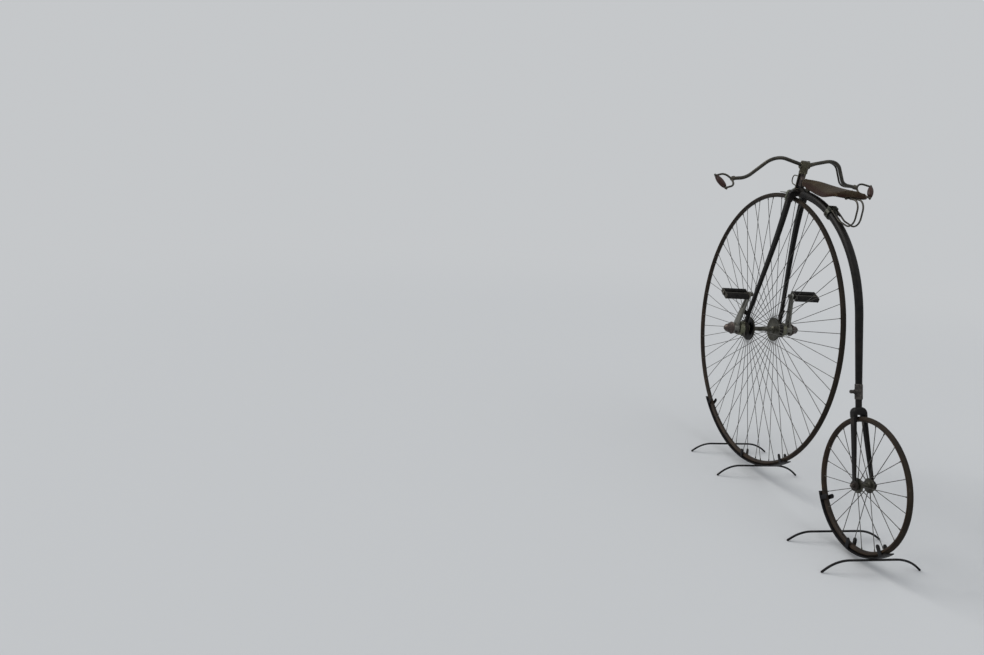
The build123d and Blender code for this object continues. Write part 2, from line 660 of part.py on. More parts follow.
def saddle_cavity(skin):
    """The hollow below the leather, open at the bottom."""
    ends = (-skin, 0, 0, 0, skin)
    hollow = loft([saddle_section(x + dx, half - skin, top - skin, depth - skin + 3, crown)
                   for (x, half, top, depth, crown), dx in zip(SADDLE_ROWS, ends)])
    return hollow & saddle_outline(skin)


def saddle_outline(inset):
    """The outline seen from above, square at the nose and rounded at the tail."""
    half, corner = SADDLE_TAIL
    tail = SADDLE_ROWS[-1][0] + inset
    length = 2 * (SADDLE_ROWS[0][0] - tail)
    outline = RectangleRounded(length, 2 * (half - inset), corner - inset)
    middle = near_crown(tail + length / 2, 0)
    return Pos(middle.X, 0, middle.Z) * extrude(outline, 120, both=True)


def saddle():
    """Long leather top, hollow below, narrow at the nose and wide at the back."""
    body = loft([saddle_section(*row) for row in SADDLE_ROWS]) & saddle_outline(0)
    return body - saddle_cavity(SADDLE_SKIN)


def saddle_frame():
    """Nose block on a post from the backbone, two rails, and the tail plate bolted to the springs."""
    nose = near_crown(NOSE_BLOCK_X, SADDLE_ROWS[0][2] - SADDLE_SKIN - NOSE_BLOCK_DROP)
    tail = near_crown(TAIL_PLATE_X, TAIL_PLATE_UP)
    shape = Pos(nose.X, 0, nose.Z) * Box(34, 80, 22)
    shape += Pos(tail.X, 0, tail.Z) * Box(20, 2 * SADDLE_TAIL[0], 5)
    shape &= saddle_cavity(SADDLE_SKIN + LEATHER_GAP)
    bolt_low = near_crown(TAIL_PLATE_X, SPRING_TOP[0][1] - 8).Z
    for _, side in SIDES:
        shape += bar((nose.X, side * 8, nose.Z - 5), (tail.X, side * 30, tail.Z), RAIL_WIRE)
        shape += bar((tail.X, side * SPRING_HALF, bolt_low), (tail.X, side * SPRING_HALF, tail.Z), 10)
    tube_top = near_front(0, BACKBONE_ARC_Z + BACKBONE_ARC_R).Z
    post = Pos(nose.X, 0, tube_top) * Box(22, 10, nose.Z - tube_top, align=LOW)
    return shape + post - backbone_solid(SEAT_FIT)[0] - saddle_springs()


def spring_points():
    place = clamp_frame()
    low = [place.from_local_coords(Vector(out, 0, along)) for out, along in SPRING_LOW]
    return [near_crown(x, up) for x, up in SPRING_TOP] + low


def saddle_springs():
    """Two wires that curl from the tail plate back, down and forward to the clamp."""
    wires = []
    for _, side in SIDES:
        points = [p + Vector(0, side * SPRING_HALF, 0) for p in spring_points()]
        wires.append(round_rod(FilletPolyline(*points, radius=list(SPRING_BENDS)), SPRING_WIRE))
    return Part() + wires


def clamp_frame():
    """Frame on the backbone at the saddle clamp, X out of the arc and Z along the tube."""
    run = CROWN_X + CLAMP_X - BACKBONE_ARC_X
    rise = sqrt(BACKBONE_ARC_R ** 2 - run ** 2)
    way = Vector(rise, 0, -run).normalized()
    origin = near_front(CROWN_X + CLAMP_X, BACKBONE_ARC_Z + rise)
    return Plane(origin=origin, x_dir=Vector(-way.Z, 0, way.X), z_dir=way)


def spring_clamp():
    """Collar round the backbone with a saddle on top for the two wires, and a wing nut on the right."""
    place = clamp_frame()
    tube_r = BACKBONE_TOP_DIA / 2
    collar = Cylinder(tube_r + CLAMP_WALL, 26)
    top = Pos(tube_r + 6, 0, 0) * Box(16, 2 * SPRING_HALF + 14, 24)
    shape = place * (collar + fillet(top.edges(), 3))
    bolt = across(8, -tube_r - 26, -tube_r)
    wing = Pos(0, -tube_r - 20, 0) * Box(*WING)
    shape += place * (bolt + fillet(wing.edges(), 2.5))
    return shape - backbone_solid(SEAT_FIT)[0] - saddle_springs()


# Assembly

def build():
    pieces = {}
    pieces["front_tyre"] = AT_FRONT * tyre(FRONT_R)
    pieces["front_rim"] = AT_FRONT * rim(FRONT_R)
    pieces["front_hub"] = AT_FRONT * front_hub()
    pieces["front_spokes"] = AT_FRONT * spokes(FRONT_SPOKES, FRONT_FLANGE_DIA, FRONT_FLANGE_Y, FRONT_R,
                                               (rim(FRONT_R), front_hub()))
    pieces["rear_tyre"] = AT_REAR * tyre(REAR_R)
    pieces["rear_rim"] = AT_REAR * rim(REAR_R)
    pieces["rear_hub"] = AT_REAR * rear_hub()
    pieces["rear_spokes"] = AT_REAR * spokes(REAR_SPOKES, REAR_FLANGE_DIA, REAR_FLANGE_Y, REAR_R,
                                             (rim(REAR_R), rear_hub()))
    pedal_parts = (("crank", crank), ("crank_nut", crank_nut), ("pedal_spindle", pedal_spindle),
                   ("pedal_frame", pedal_frame), ("pedal_rubbers", pedal_rubbers))
    for name, make in pedal_parts:
        left = AT_FRONT * make()
        pieces[name + "_left"] = left
        pieces[name + "_right"] = mirror(left, Plane.XZ)
    for name, side in SIDES:
        pieces["fork_leg_" + name] = STEER * fork_leg(side)
        pieces["bearing_" + name] = STEER * bearing_housing(side)
        pieces["grip_loop_" + name] = STEER * grip_loop(side)
        pieces["wood_grip_" + name] = STEER * wood_grip(side)
        pieces["rear_leg_" + name] = rear_frame() * rear_leg(side)
    pieces["fork_crown"] = STEER * fork_crown()
    pieces["steering_head"] = STEER * steering_head()
    pieces["handlebar"] = STEER * handlebar()
    pieces["brake_lever"] = STEER * brake_lever() - pieces["steering_head"]
    pieces["brake_spoon"] = AT_FRONT * brake_spoon() - pieces["steering_head"] - pieces["fork_crown"]
    pieces["brake_link"] = STEER * brake_link() - pieces["steering_head"]
    pieces["front_cradle"] = AT_FRONT * cradle(FRONT_R, FRONT_STRAP, FRONT_TABS)
    pieces["front_feet"] = feet(FRONT_HUB, FRONT_R, FRONT_FEET)
    pieces["rear_cradle"] = AT_REAR * cradle(REAR_R, REAR_STRAP, REAR_TABS)
    pieces["rear_feet"] = feet(REAR_HUB, REAR_R, REAR_FEET)
    tube, touch, low = backbone_solid()
    pieces["neck"] = STEER * neck()
    crown = rear_frame() * rear_crown()
    pieces["rear_crown"] = crown
    pieces["step"] = step(touch, low) - tube
    pieces["backbone"] = tube - crown - pieces["neck"]
    pieces["rear_axle"] = AT_REAR * rear_axle()
    pieces["saddle"] = saddle()
    pieces["saddle_frame"] = saddle_frame()
    pieces["saddle_springs"] = saddle_springs()
    pieces["spring_clamp"] = spring_clamp()
    return pieces


os.makedirs("parts", exist_ok=True)
for node, shape in build().items():
    export_step(shape, "parts/" + node + ".step")
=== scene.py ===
import json
from math import acos, asin, atan2, cos, pi, radians, sin, tan

import bmesh
import bpy
from mathutils import Matrix, Vector


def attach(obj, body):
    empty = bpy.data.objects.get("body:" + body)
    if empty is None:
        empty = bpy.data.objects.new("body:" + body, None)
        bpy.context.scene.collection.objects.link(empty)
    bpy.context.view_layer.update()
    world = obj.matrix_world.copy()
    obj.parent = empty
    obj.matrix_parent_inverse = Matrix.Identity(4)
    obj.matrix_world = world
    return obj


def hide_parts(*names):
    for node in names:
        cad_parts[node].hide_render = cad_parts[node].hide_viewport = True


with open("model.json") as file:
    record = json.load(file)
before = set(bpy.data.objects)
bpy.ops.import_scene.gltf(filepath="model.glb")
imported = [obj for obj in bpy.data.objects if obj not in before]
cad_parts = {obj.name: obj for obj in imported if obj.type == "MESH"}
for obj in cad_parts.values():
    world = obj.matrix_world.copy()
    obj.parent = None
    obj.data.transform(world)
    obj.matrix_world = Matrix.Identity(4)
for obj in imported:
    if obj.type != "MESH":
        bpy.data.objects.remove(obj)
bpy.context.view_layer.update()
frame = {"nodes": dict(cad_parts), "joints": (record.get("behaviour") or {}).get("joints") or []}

joints = {joint["name"]: joint for joint in frame["joints"]}
frontHub = Vector(joints["front_wheel_spin"]["pos_m"])
rearHub = Vector(joints["rear_wheel_spin"]["pos_m"])
pedalAxis = Vector(joints["pedal_left_spin"]["pos_m"])
steerAxis = Vector(joints["steering"]["axis"]).normalized()
sides = (("left", 1), ("right", -1))
xWay, yWay, zWay = Vector((1, 0, 0)), Vector((0, 1, 0)), Vector((0, 0, 1))
identity = Matrix.Identity(4)
samePoint = 1e-6  # points nearer than this are merged


def placed(origin, xAxis, zAxis):  # a matrix from an origin, an X direction and a Z direction
    z = Vector(zAxis).normalized()
    x = Vector(xAxis)
    x = (x - z * x.dot(z)).normalized()
    turn = Matrix((x, z.cross(x), z)).transposed().to_4x4()
    return Matrix.Translation(Vector(origin)) @ turn


def moved(x=0.0, y=0.0, z=0.0):
    return Matrix.Translation((x, y, z))


steer = placed(frontHub, xWay, steerAxis)  # X ahead, Z up the steering axis
frontAxle = placed(frontHub, xWay, yWay)  # Z along the axle, to the left
rearAxle = placed(rearHub, xWay, yWay)


def pick(values, names):  # several values of a dictionary
    return [values[name] for name in names.split()]


# shapes: outlines, profiles, and fresh bmeshes that are then added to a piece

def rounded(bm, width, angle=30, segments=2):  # softens the edges that are sharper than the angle
    sharp = [e for e in bm.edges if len(e.link_faces) == 2 and e.calc_face_angle() > radians(angle)]
    if width and sharp:
        bmesh.ops.bevel(bm, geom=sharp, offset=width, offset_type="OFFSET", affect="EDGES",
                        segments=segments, profile=0.5, material=-1, clamp_overlap=True)
    return bm


def turned(profile, steps=48, closed=False, bevel=0.0):  # (radius, height) points turned about Z
    bm = bmesh.new()
    verts = [bm.verts.new((r, 0, z)) for r, z in profile]
    edges = [bm.edges.new(pair) for pair in zip(verts, verts[1:])]
    if closed:
        edges.append(bm.edges.new((verts[-1], verts[0])))
    bmesh.ops.spin(bm, geom=verts + edges, cent=(0, 0, 0), axis=zWay, dvec=(0, 0, 0), angle=2 * pi,
                   steps=steps, use_merge=True)
    bmesh.ops.remove_doubles(bm, verts=bm.verts, dist=samePoint)
    bmesh.ops.recalc_face_normals(bm, faces=bm.faces)
    return rounded(bm, bevel)


def ring(inside, outside, low, high, soft, softUp=None):  # profile of a ring with softened edges
    up = softUp or soft
    return [(inside, low), (outside - soft, low), (outside, low + up), (outside, high - up),
            (outside - soft, high), (inside, high)]


def disc(radius, z0, z1, steps=32, bevel=0.0):
    return turned([(0, z0), (radius, z0), (radius, z1), (0, z1)], steps, bevel=bevel)


def washer(radius, z0, z1):
    return disc(radius, z0, z1, 28, 0.0004)


def ball(radius, segments=20):
    bm = bmesh.new()
    bmesh.ops.create_uvsphere(bm, u_segments=segments, v_segments=segments // 2, radius=radius)
    return bm


def hexNut(acrossFlats, height, bevel=0.0006):
    bm = bmesh.new()
    corner = acrossFlats / 2 / cos(pi / 6)
    bmesh.ops.create_cone(bm, cap_ends=True, segments=6, radius1=corner, radius2=corner, depth=height)
    bmesh.ops.translate(bm, vec=(0, 0, height / 2), verts=bm.verts)
    return rounded(bm, bevel)


def rivetHead(radius, height):
    return turned([(0, 0), (radius, 0), (radius * 0.9, height * 0.6), (radius * 0.45, height * 0.93),
                   (0, height)], 20)


def rodBetween(start, end, diameter, steps=16):
    start, end = Vector(start), Vector(end)
    bm = disc(diameter / 2, 0, (end - start).length, steps)
    aside = xWay if abs((end - start).normalized().x) < 0.9 else zWay
    bmesh.ops.transform(bm, matrix=placed(start, aside, end - start), verts=bm.verts)
    return bm


def stadium(x0, r0, x1, r1, count=24):  # the outline round two circles on the X axis
    turnAt = acos((r0 - r1) / (x1 - x0))
    points = []
    for x, r, first, last in ((x1, r1, -turnAt, turnAt), (x0, r0, turnAt, 2 * pi - turnAt)):
        for i in range(count):
            angle = first + (last - first) * i / (count - 1)
            points.append((x + r * cos(angle), r * sin(angle)))
    return points


def roundedBox(width, height, radius, count=5):
    points = []
    for x, y, start in ((1, 1, 0), (-1, 1, 90), (-1, -1, 180), (1, -1, 270)):
        for i in range(count):
            angle = radians(start + 90 * i / (count - 1))
            points.append((x * (width / 2 - radius) + radius * cos(angle),
                           y * (height / 2 - radius) + radius * sin(angle)))
    return points


def plate(outer, thick, bevel=0.0, hole=None):  # a flat shape in XY, thick about Z = 0
    bm = bmesh.new()
    loops = []
    for outline in [outer] + ([hole] if hole else []):
        verts = [bm.verts.new((x, y, -thick / 2)) for x, y in outline]
        loops.append([bm.edges.new((vert, verts[i - 1])) for i, vert in enumerate(verts)])
    if hole:
        bmesh.ops.bridge_loops(bm, edges=loops[0] + loops[1])
    else:
        bmesh.ops.edgeloop_fill(bm, edges=loops[0])
    grown = bmesh.ops.extrude_face_region(bm, geom=list(bm.faces))["geom"]
    upper = [part for part in grown if isinstance(part, bmesh.types.BMVert)]
    bmesh.ops.translate(bm, vec=(0, 0, thick), verts=upper)
    bmesh.ops.recalc_face_normals(bm, faces=bm.faces)
    return rounded(bm, bevel)


def wire(points, bends, diameter, swell=None, sides=4, steps=10):  # a round rod with rounded corners
    points = [Vector(point) for point in points]
    knots = [[points[0], None, None]]
    for i, bend in enumerate(bends, 1):
        back = (points[i - 1] - points[i]).normalized()
        onward = (points[i + 1] - points[i]).normalized()
        turn = pi - back.angle(onward)
        reach = bend * tan(turn / 2)
        handle = 4 / 3 * tan(turn / 4) * bend
        first, last = points[i] + back * reach, points[i] + onward * reach
        knots.append([first, None, first - back * handle])
        knots.append([last, last - onward * handle, None])
    knots.append([points[-1], None, None])
    curve = bpy.data.curves.new("wire", "CURVE")
    curve.dimensions = "3D"
    curve.bevel_depth = diameter / 2
    curve.bevel_resolution = sides
    curve.resolution_u = steps
    curve.use_fill_caps = True
    spline = curve.splines.new("BEZIER")
    spline.bezier_points.add(len(knots) - 1)
    for i, (knot, (at, before, after)) in enumerate(zip(spline.bezier_points, knots)):
        knot.co = at
        knot.handle_left_type = knot.handle_right_type = "FREE"
        knot.handle_left = before or (at + ((knots[i - 1][0] if i else at) - at) / 3)
        knot.handle_right = after or (at + ((knots[i + 1][0] if i + 1 < len(knots) else at) - at) / 3)
        knot.radius = swell[i] if swell else 1
    obj = bpy.data.objects.new("wire", curve)
    bpy.context.collection.objects.link(obj)
    mesh = bpy.data.meshes.new_from_object(obj.evaluated_get(bpy.context.evaluated_depsgraph_get()))
    bm = bmesh.new()
    bm.from_mesh(mesh)
    bpy.data.objects.remove(obj)
    bpy.data.curves.remove(curve)
    bpy.data.meshes.remove(mesh)
    bmesh.ops.remove_doubles(bm, verts=bm.verts, dist=samePoint)
    return bm


def fromNode(name, bevel=0.0, flatten=True, segments=2):  # a merged copy of a CAD node
    bm = bmesh.new()
    bm.from_mesh(frame["nodes"][name].data)
    bmesh.ops.remove_doubles(bm, verts=bm.verts, dist=1e-5)
    if flatten:
        bmesh.ops.dissolve_limit(bm, angle_limit=radians(0.4), verts=bm.verts, edges=bm.edges)
    return rounded(bm, bevel, 35, segments)


def add(bm, part, place=identity, finish=0, side=1):  # on the right side it is mirrored
    bmesh.ops.transform(part, matrix=place, verts=part.verts)
    if side < 0:
        bmesh.ops.scale(part, vec=(1, -1, 1), verts=part.verts)
        bmesh.ops.reverse_faces(part, faces=part.faces)
    for face in part.faces:
        face.material_index = finish
    mesh = bpy.data.meshes.new("shape")
    part.to_mesh(mesh)
    part.free()
    bm.from_mesh(mesh)
    bpy.data.meshes.remove(mesh)


def paint(bm, finish, chosen):  # gives the chosen faces another of the piece's finishes
    for face in bm.faces:
        if chosen(face.calc_center_median()):
            face.material_index = finish


def cutAcross(bm, spot, way):  # an edge for the paint to end at
    everything = list(bm.verts) + list(bm.edges) + list(bm.faces)
    bmesh.ops.bisect_plane(bm, geom=everything, plane_co=spot, plane_no=way)


def makePiece(name, bm, body, finishes, node=None, smooth=38):
    mesh = bpy.data.meshes.new(name)
    bm.to_mesh(mesh)
    bm.free()
    mesh.shade_smooth()
    mesh.set_sharp_from_angle(angle=radians(smooth))
    for used in finishes:
        mesh.materials.append(made[used])
    obj = bpy.data.objects.new(name, mesh)
    bpy.context.collection.objects.link(obj)
    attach(obj, body)
    if node is None:  # most pieces are named after their node, with one more word
        node = name.rsplit("_", 1)[0]
    if node:
        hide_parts(node)
    return obj


def makeFromNode(node, word, body, finish, bevel=0.0, flatten=True):  # keeps the node's shape
    bm = bmesh.new()
    add(bm, fromNode(node, bevel, flatten))
    makePiece(node + "_" + word, bm, body, [finish])


def feed(tree, node, feeds):  # a socket takes another node's output, or a number or colour of its own
    for name, value in feeds.items():
        socket = node.inputs[name]
        if isinstance(value, bpy.types.NodeSocket):
            tree.links.new(value, socket)
            continue
        if isinstance(value, tuple) and len(value) < len(socket.default_value):
            value += (1.0,)
        socket.default_value = value


def newNode(tree, kind, feeds=None, **settings):
    node = tree.nodes.new("ShaderNode" + kind)
    for setting, value in settings.items():
        setattr(node, setting, value)
    feed(tree, node, feeds or {})
    return node


# finishes: patterns in object space for colour, roughness and relief

def finish(name, look):
    look = {**usualLook, **look}
    material = bpy.data.materials.new(name)
    material.use_nodes = True
    tree = material.node_tree
    mapping = newNode(tree, "Mapping", {"Vector": newNode(tree, "TexCoord").outputs["Object"],
                                        "Scale": look["stretch"], "Rotation": look["turn"]})
    spot = mapping.outputs["Vector"]

    def noise(scale, detail=5.0, rough=0.55):
        feeds = {"Vector": spot, "Scale": scale, "Detail": detail, "Roughness": rough}
        return newNode(tree, "TexNoise", feeds).outputs["Fac"]

    def spread(value, low, high, to=(0.0, 1.0)):
        feeds = {"Value": value, "From Min": low, "From Max": high, "To Min": to[0], "To Max": to[1]}
        return newNode(tree, "MapRange", feeds, interpolation_type="SMOOTHSTEP").outputs["Result"]

    def combined(kind, first, second):
        return newNode(tree, "Math", {0: first, 1: second}, operation=kind, use_clamp=True).outputs[0]

    def mixed(amount, first, second):
        return newNode(tree, "Mix", {0: amount, 6: first, 7: second}, data_type="RGBA").outputs[2]

    grain = noise(look["grainScale"], 8.0, 0.65)
    patches = spread(noise(look["patchScale"], 4.0), 0.4, 0.62)
    colour = mixed(patches, look["base"], look["patch"])
    colour = mixed(spread(grain, 0.42, 0.7), colour, look.get("speck", look["patch"]))
    if look["skirt"]:  # the lower edge is darker and redder than the top, by the piece's own attribute
        skirt = newNode(tree, "Attribute", attribute_name="skirt").outputs["Fac"]
        lower = combined("MULTIPLY", skirt, spread(noise(14), 0.3, 0.6, (0.65, 1.0)))
        colour = mixed(lower, colour, look["skirt"])
    worn = spread(noise(look["wearScale"], 6.0, 0.7), *look["wearSpan"])
    if look["edge"]:
        pointed = newNode(tree, "NewGeometry").outputs["Pointiness"]
        edges = spread(pointed, 0.505, 0.56, (0.0, look["edge"]))
        broken = spread(noise(look["wearScale"] * 0.6), 0.38, 0.6)
        worn = combined("ADD", worn, combined("MULTIPLY", edges, broken))
    if look["pebble"]:
        cells = newNode(tree, "TexVoronoi", {"Vector": spot, "Scale": look["pebble"]})
        bumps = spread(cells.outputs["Distance"], 0.0, 0.6)
        grain = combined("MULTIPLY", bumps, spread(grain, 0.2, 0.6, (0.5, 1.0)))
    metal, wornMetal = look["metal"]
    relief = combined("ADD", combined("MULTIPLY", grain, 0.6), combined("MULTIPLY", patches, 0.3))
    bump = newNode(tree, "Bump", {"Strength": look["bump"], "Distance": look["depth"], "Height": relief})
    feed(tree, tree.nodes["Principled BSDF"], {
        "Base Color": mixed(worn, colour, look["worn"]),
        "Roughness": combined("ADD", spread(grain, 0.3, 0.75, look["rough"]),
                              combined("MULTIPLY", worn, look["wornRough"])),
        "Metallic": metal if metal == wornMetal else spread(worn, 0.0, 1.0, look["metal"]),
        "Specular IOR Level": look["specular"],
        "Normal": bump.outputs["Normal"],
    })
    return material


# metal is (unworn, worn), rough is (smoothest, roughest)
usualLook = dict(
    stretch=(1, 1, 1), turn=(0, 0, 0), grainScale=260, wearScale=60, edge=0, metal=(0, 0),
    rough=(0.36, 0.56), wornRough=0.1, bump=0.15, depth=0.0006, specular=0.5, skirt=None, pebble=0)
looks = dict(
    tyreRubber=dict(
        base=(0.0155, 0.0125, 0.0095), patch=(0.028, 0.021, 0.0145), speck=(0.021, 0.017, 0.013),
        worn=(0.052, 0.042, 0.031), patchScale=7, grainScale=160, wearScale=22, wearSpan=(0.56, 0.75),
        rough=(0.62, 0.85), bump=0.35, specular=0.12),
    rimEnamel=dict(
        base=(0.014, 0.011, 0.009), patch=(0.028, 0.019, 0.013), worn=(0.075, 0.048, 0.03), patchScale=9,
        grainScale=200, wearSpan=(0.58, 0.7), edge=0.7, metal=(0.1, 0.5), rough=(0.45, 0.65),
        wornRough=0.15, bump=0.2, specular=0.15),
    blackEnamel=dict(
        base=(0.0042, 0.0042, 0.0044), patch=(0.0075, 0.007, 0.0066), worn=(0.042, 0.035, 0.029),
        patchScale=8, wearScale=70, wearSpan=(0.64, 0.76), edge=0.45, metal=(0, 0.5), rough=(0.32, 0.48),
        wornRough=0.2, bump=0.12, specular=0.12),
    headNickel=dict(
        base=(0.088, 0.082, 0.058), patch=(0.048, 0.04, 0.028), speck=(0.07, 0.062, 0.045),
        worn=(0.16, 0.158, 0.11), patchScale=22, grainScale=240, wearScale=46, wearSpan=(0.5, 0.68),
        metal=(0.9, 0.95), rough=(0.34, 0.55), wornRough=0.0),
    crankNickel=dict(
        base=(0.175, 0.175, 0.158), patch=(0.115, 0.112, 0.096), speck=(0.14, 0.137, 0.12),
        worn=(0.045, 0.04, 0.032), patchScale=26, grainScale=300, wearScale=80, wearSpan=(0.57, 0.72),
        metal=(0.9, 0.5), rough=(0.32, 0.5), wornRough=0.2),
    darkPlate=dict(
        base=(0.055, 0.053, 0.046), patch=(0.028, 0.026, 0.022), worn=(0.12, 0.108, 0.085), patchScale=18,
        wearSpan=(0.56, 0.74), edge=0.5, metal=(0.8, 0.95), wornRough=0.05, specular=0.3),
    bearingNickel=dict(
        base=(0.165, 0.17, 0.12), patch=(0.1, 0.098, 0.068), speck=(0.13, 0.128, 0.094),
        worn=(0.05, 0.044, 0.032), patchScale=26, grainScale=240, wearSpan=(0.56, 0.7), metal=(0.85, 0.5),
        rough=(0.34, 0.52)),
    plainSteel=dict(
        base=(0.11, 0.106, 0.095), patch=(0.066, 0.06, 0.05), worn=(0.055, 0.038, 0.027), patchScale=22,
        grainScale=240, wearScale=80, wearSpan=(0.58, 0.74), metal=(0.9, 0.3), wornRough=0.25, bump=0.18),
    oiledSteel=dict(
        base=(0.085, 0.083, 0.066), patch=(0.042, 0.04, 0.031), worn=(0.022, 0.019, 0.014), patchScale=30,
        grainScale=220, wearScale=50, wearSpan=(0.54, 0.7), metal=(0.8, 0.3), rough=(0.35, 0.6), bump=0.2),
    brownedSteel=dict(
        base=(0.072, 0.056, 0.049), patch=(0.038, 0.031, 0.029), worn=(0.145, 0.118, 0.1), patchScale=34,
        wearScale=90, wearSpan=(0.55, 0.72), edge=0.4, metal=(0.7, 0.9), rough=(0.34, 0.55), wornRough=0.05,
        bump=0.2),
    spokeSteel=dict(
        base=(0.07, 0.068, 0.061), patch=(0.04, 0.037, 0.032), worn=(0.1, 0.082, 0.064), patchScale=14,
        grainScale=300, wearScale=40, wearSpan=(0.56, 0.7), metal=(0.55, 0.3), rough=(0.4, 0.6), bump=0.1),
    gripWood=dict(
        base=(0.026, 0.01, 0.008), patch=(0.046, 0.021, 0.0155), speck=(0.034, 0.0145, 0.011),
        worn=(0.014, 0.006, 0.0052), patchScale=12, grainScale=60, wearScale=26, wearSpan=(0.52, 0.66),
        stretch=(1.0, 9.0, 9.0), turn=(0, 0.25, 0), rough=(0.34, 0.52), bump=0.25, specular=0.2),
    saddleLeather=dict(
        base=(0.0265, 0.0172, 0.0074), patch=(0.04, 0.027, 0.0124), speck=(0.02, 0.0122, 0.0058),
        worn=(0.058, 0.043, 0.025), skirt=(0.025, 0.0094, 0.0055), patchScale=11, grainScale=150,
        wearScale=16, wearSpan=(0.52, 0.7), edge=0.35, rough=(0.46, 0.66), wornRough=0.12, bump=0.45,
        pebble=520, specular=0.14),
    pedalRubber=dict(
        base=(0.0065, 0.0064, 0.0066), patch=(0.011, 0.0105, 0.01), worn=(0.03, 0.028, 0.026),
        patchScale=30, grainScale=300, wearSpan=(0.6, 0.75), edge=0.5, rough=(0.6, 0.8), bump=0.3,
        specular=0.12),
    standPaint=dict(
        base=(0.0055, 0.0057, 0.0066), patch=(0.009, 0.009, 0.0102), worn=(0.04, 0.036, 0.032),
        patchScale=12, grainScale=220, wearSpan=(0.63, 0.76), edge=0.4, metal=(0, 0.5), rough=(0.42, 0.58),
        wornRough=0.15, specular=0.12),
    shoePlate=dict(
        base=(0.105, 0.115, 0.083), patch=(0.06, 0.062, 0.044), speck=(0.08, 0.084, 0.06),
        worn=(0.17, 0.18, 0.135), patchScale=40, wearSpan=(0.52, 0.7), metal=(0.7, 0.9), rough=(0.38, 0.58),
        wornRough=0.0),
    clampSteel=dict(
        base=(0.036, 0.04, 0.03), patch=(0.02, 0.021, 0.017), worn=(0.105, 0.105, 0.085), patchScale=30,
        wearScale=70, wearSpan=(0.56, 0.72), edge=0.5, metal=(0.6, 0.9), bump=0.18, specular=0.35),
    wornBand=dict(
        base=(0.031, 0.026, 0.024), patch=(0.013, 0.011, 0.011), speck=(0.023, 0.019, 0.017),
        worn=(0.12, 0.108, 0.098), patchScale=34, grainScale=240, wearScale=90, wearSpan=(0.54, 0.68),
        edge=0.5, metal=(0.6, 0.9), rough=(0.38, 0.6), wornRough=0.05, bump=0.22),
    brassRivet=dict(
        base=(0.085, 0.058, 0.03), patch=(0.05, 0.032, 0.018), worn=(0.02, 0.014, 0.009), patchScale=60,
        grainScale=300, wearScale=120, wearSpan=(0.52, 0.68), metal=(0.8, 0.3), rough=(0.38, 0.55),
        wornRough=0.2))
made = {name: finish(name, look) for name, look in looks.items()}
print("finishes made", len(made))

# camera, floor and light

view = dict(
    lens=27.886, sensor=36, at=(-3.1298, 1.9295, 1.4201), right=(-0.15551, -0.9852, 0.07216),
    up=(0.22509, 0.03579, 0.97368))
camera = bpy.data.objects.new("camera", bpy.data.cameras.new("camera"))
bpy.context.collection.objects.link(camera)
camera.data.lens, camera.data.sensor_width = view["lens"], view["sensor"]
right, up = Vector(view["right"]).normalized(), Vector(view["up"]).normalized()
facing = Matrix((right, up, right.cross(up))).transposed().to_4x4()
camera.matrix_world = Matrix.Translation(view["at"]) @ facing
bpy.context.scene.camera = camera
bpy.context.scene.view_settings.view_transform = "Standard"

stage = dict(
    floor=(0.56, 0.575, 0.59), backdrop=(0.56, 0.575, 0.59), radius=16.0, fadeFrom=3.0, fadeTo=9.0,
    rough=0.7, specular=0.1, ambient=(0.95, 0.97, 1.0), ambientStrength=0.42)
lamps = (  # name, direction that it comes from, softness in degrees, strength, colour
    ("windowLight", (0.55, 1.0, 0.95), 38, 1.75, (1.0, 0.985, 0.96)),
    ("roomLight", (-0.55, -0.15, 1.0), 70, 0.75, (0.98, 0.99, 1.0)),
)
for name, way, softness, strength, colour in lamps:
    lamp = bpy.data.lights.new(name, "SUN")
    lamp.angle, lamp.energy, lamp.color = radians(softness), strength, colour
    obj = bpy.data.objects.new(name, lamp)
    obj.location = Vector(way) * 4
    obj.rotation_euler = (-Vector(way)).to_track_quat("-Z", "Y").to_euler()
    bpy.context.collection.objects.link(obj)


def withBackdrop(tree, plain, backdrop, fade=None):  # camera, mirror and clear rays see the backdrop
    path = newNode(tree, "LightPath")
    seen = path.outputs["Is Camera Ray"]
    for ray in ("Is Glossy Ray", "Is Transmission Ray"):
        seen = newNode(tree, "Math", {0: seen, 1: path.outputs[ray]}, operation="MAXIMUM").outputs[0]
    if fade is not None:
        seen = newNode(tree, "Math", {0: fade, 1: seen}, operation="MULTIPLY").outputs[0]
    return newNode(tree, "MixShader", {0: seen, 1: plain, 2: backdrop}).outputs[0]


world = bpy.data.worlds.new("room")
bpy.context.scene.world = world
world.use_nodes = True
tree = world.node_tree
ambient = tree.nodes["Background"]
feed(tree, ambient, {"Color": stage["ambient"], "Strength": stage["ambientStrength"]})
seenRoom = newNode(tree, "Background", {"Color": stage["backdrop"]})
room = withBackdrop(tree, ambient.outputs[0], seenRoom.outputs[0])
feed(tree, tree.nodes["World Output"], {"Surface": room})

bm = bmesh.new()
bmesh.ops.create_circle(bm, cap_ends=True, segments=96, radius=stage["radius"])
mesh = bpy.data.meshes.new("floor")
bm.to_mesh(mesh)
bm.free()
floor = bpy.data.objects.new("floor", mesh)
bpy.context.collection.objects.link(floor)
floorPaint = bpy.data.materials.new("floorPaint")
floorPaint.use_nodes = True
mesh.materials.append(floorPaint)
tree = floorPaint.node_tree
shader = tree.nodes["Principled BSDF"]
feed(tree, shader, {"Base Color": stage["floor"], "Roughness": stage["rough"],
                    "Specular IOR Level": stage["specular"]})
glow = newNode(tree, "Emission", {"Color": stage["backdrop"]})
away = newNode(tree, "VectorMath", {0: newNode(tree, "TexCoord").outputs["Object"]}, operation="LENGTH")
fade = newNode(tree, "MapRange", {"Value": away.outputs["Value"], "From Min": stage["fadeFrom"],
                                  "From Max": stage["fadeTo"]}, interpolation_type="SMOOTHERSTEP")
faded = withBackdrop(tree, shader.outputs[0], glow.outputs[0], fade.outputs["Result"])
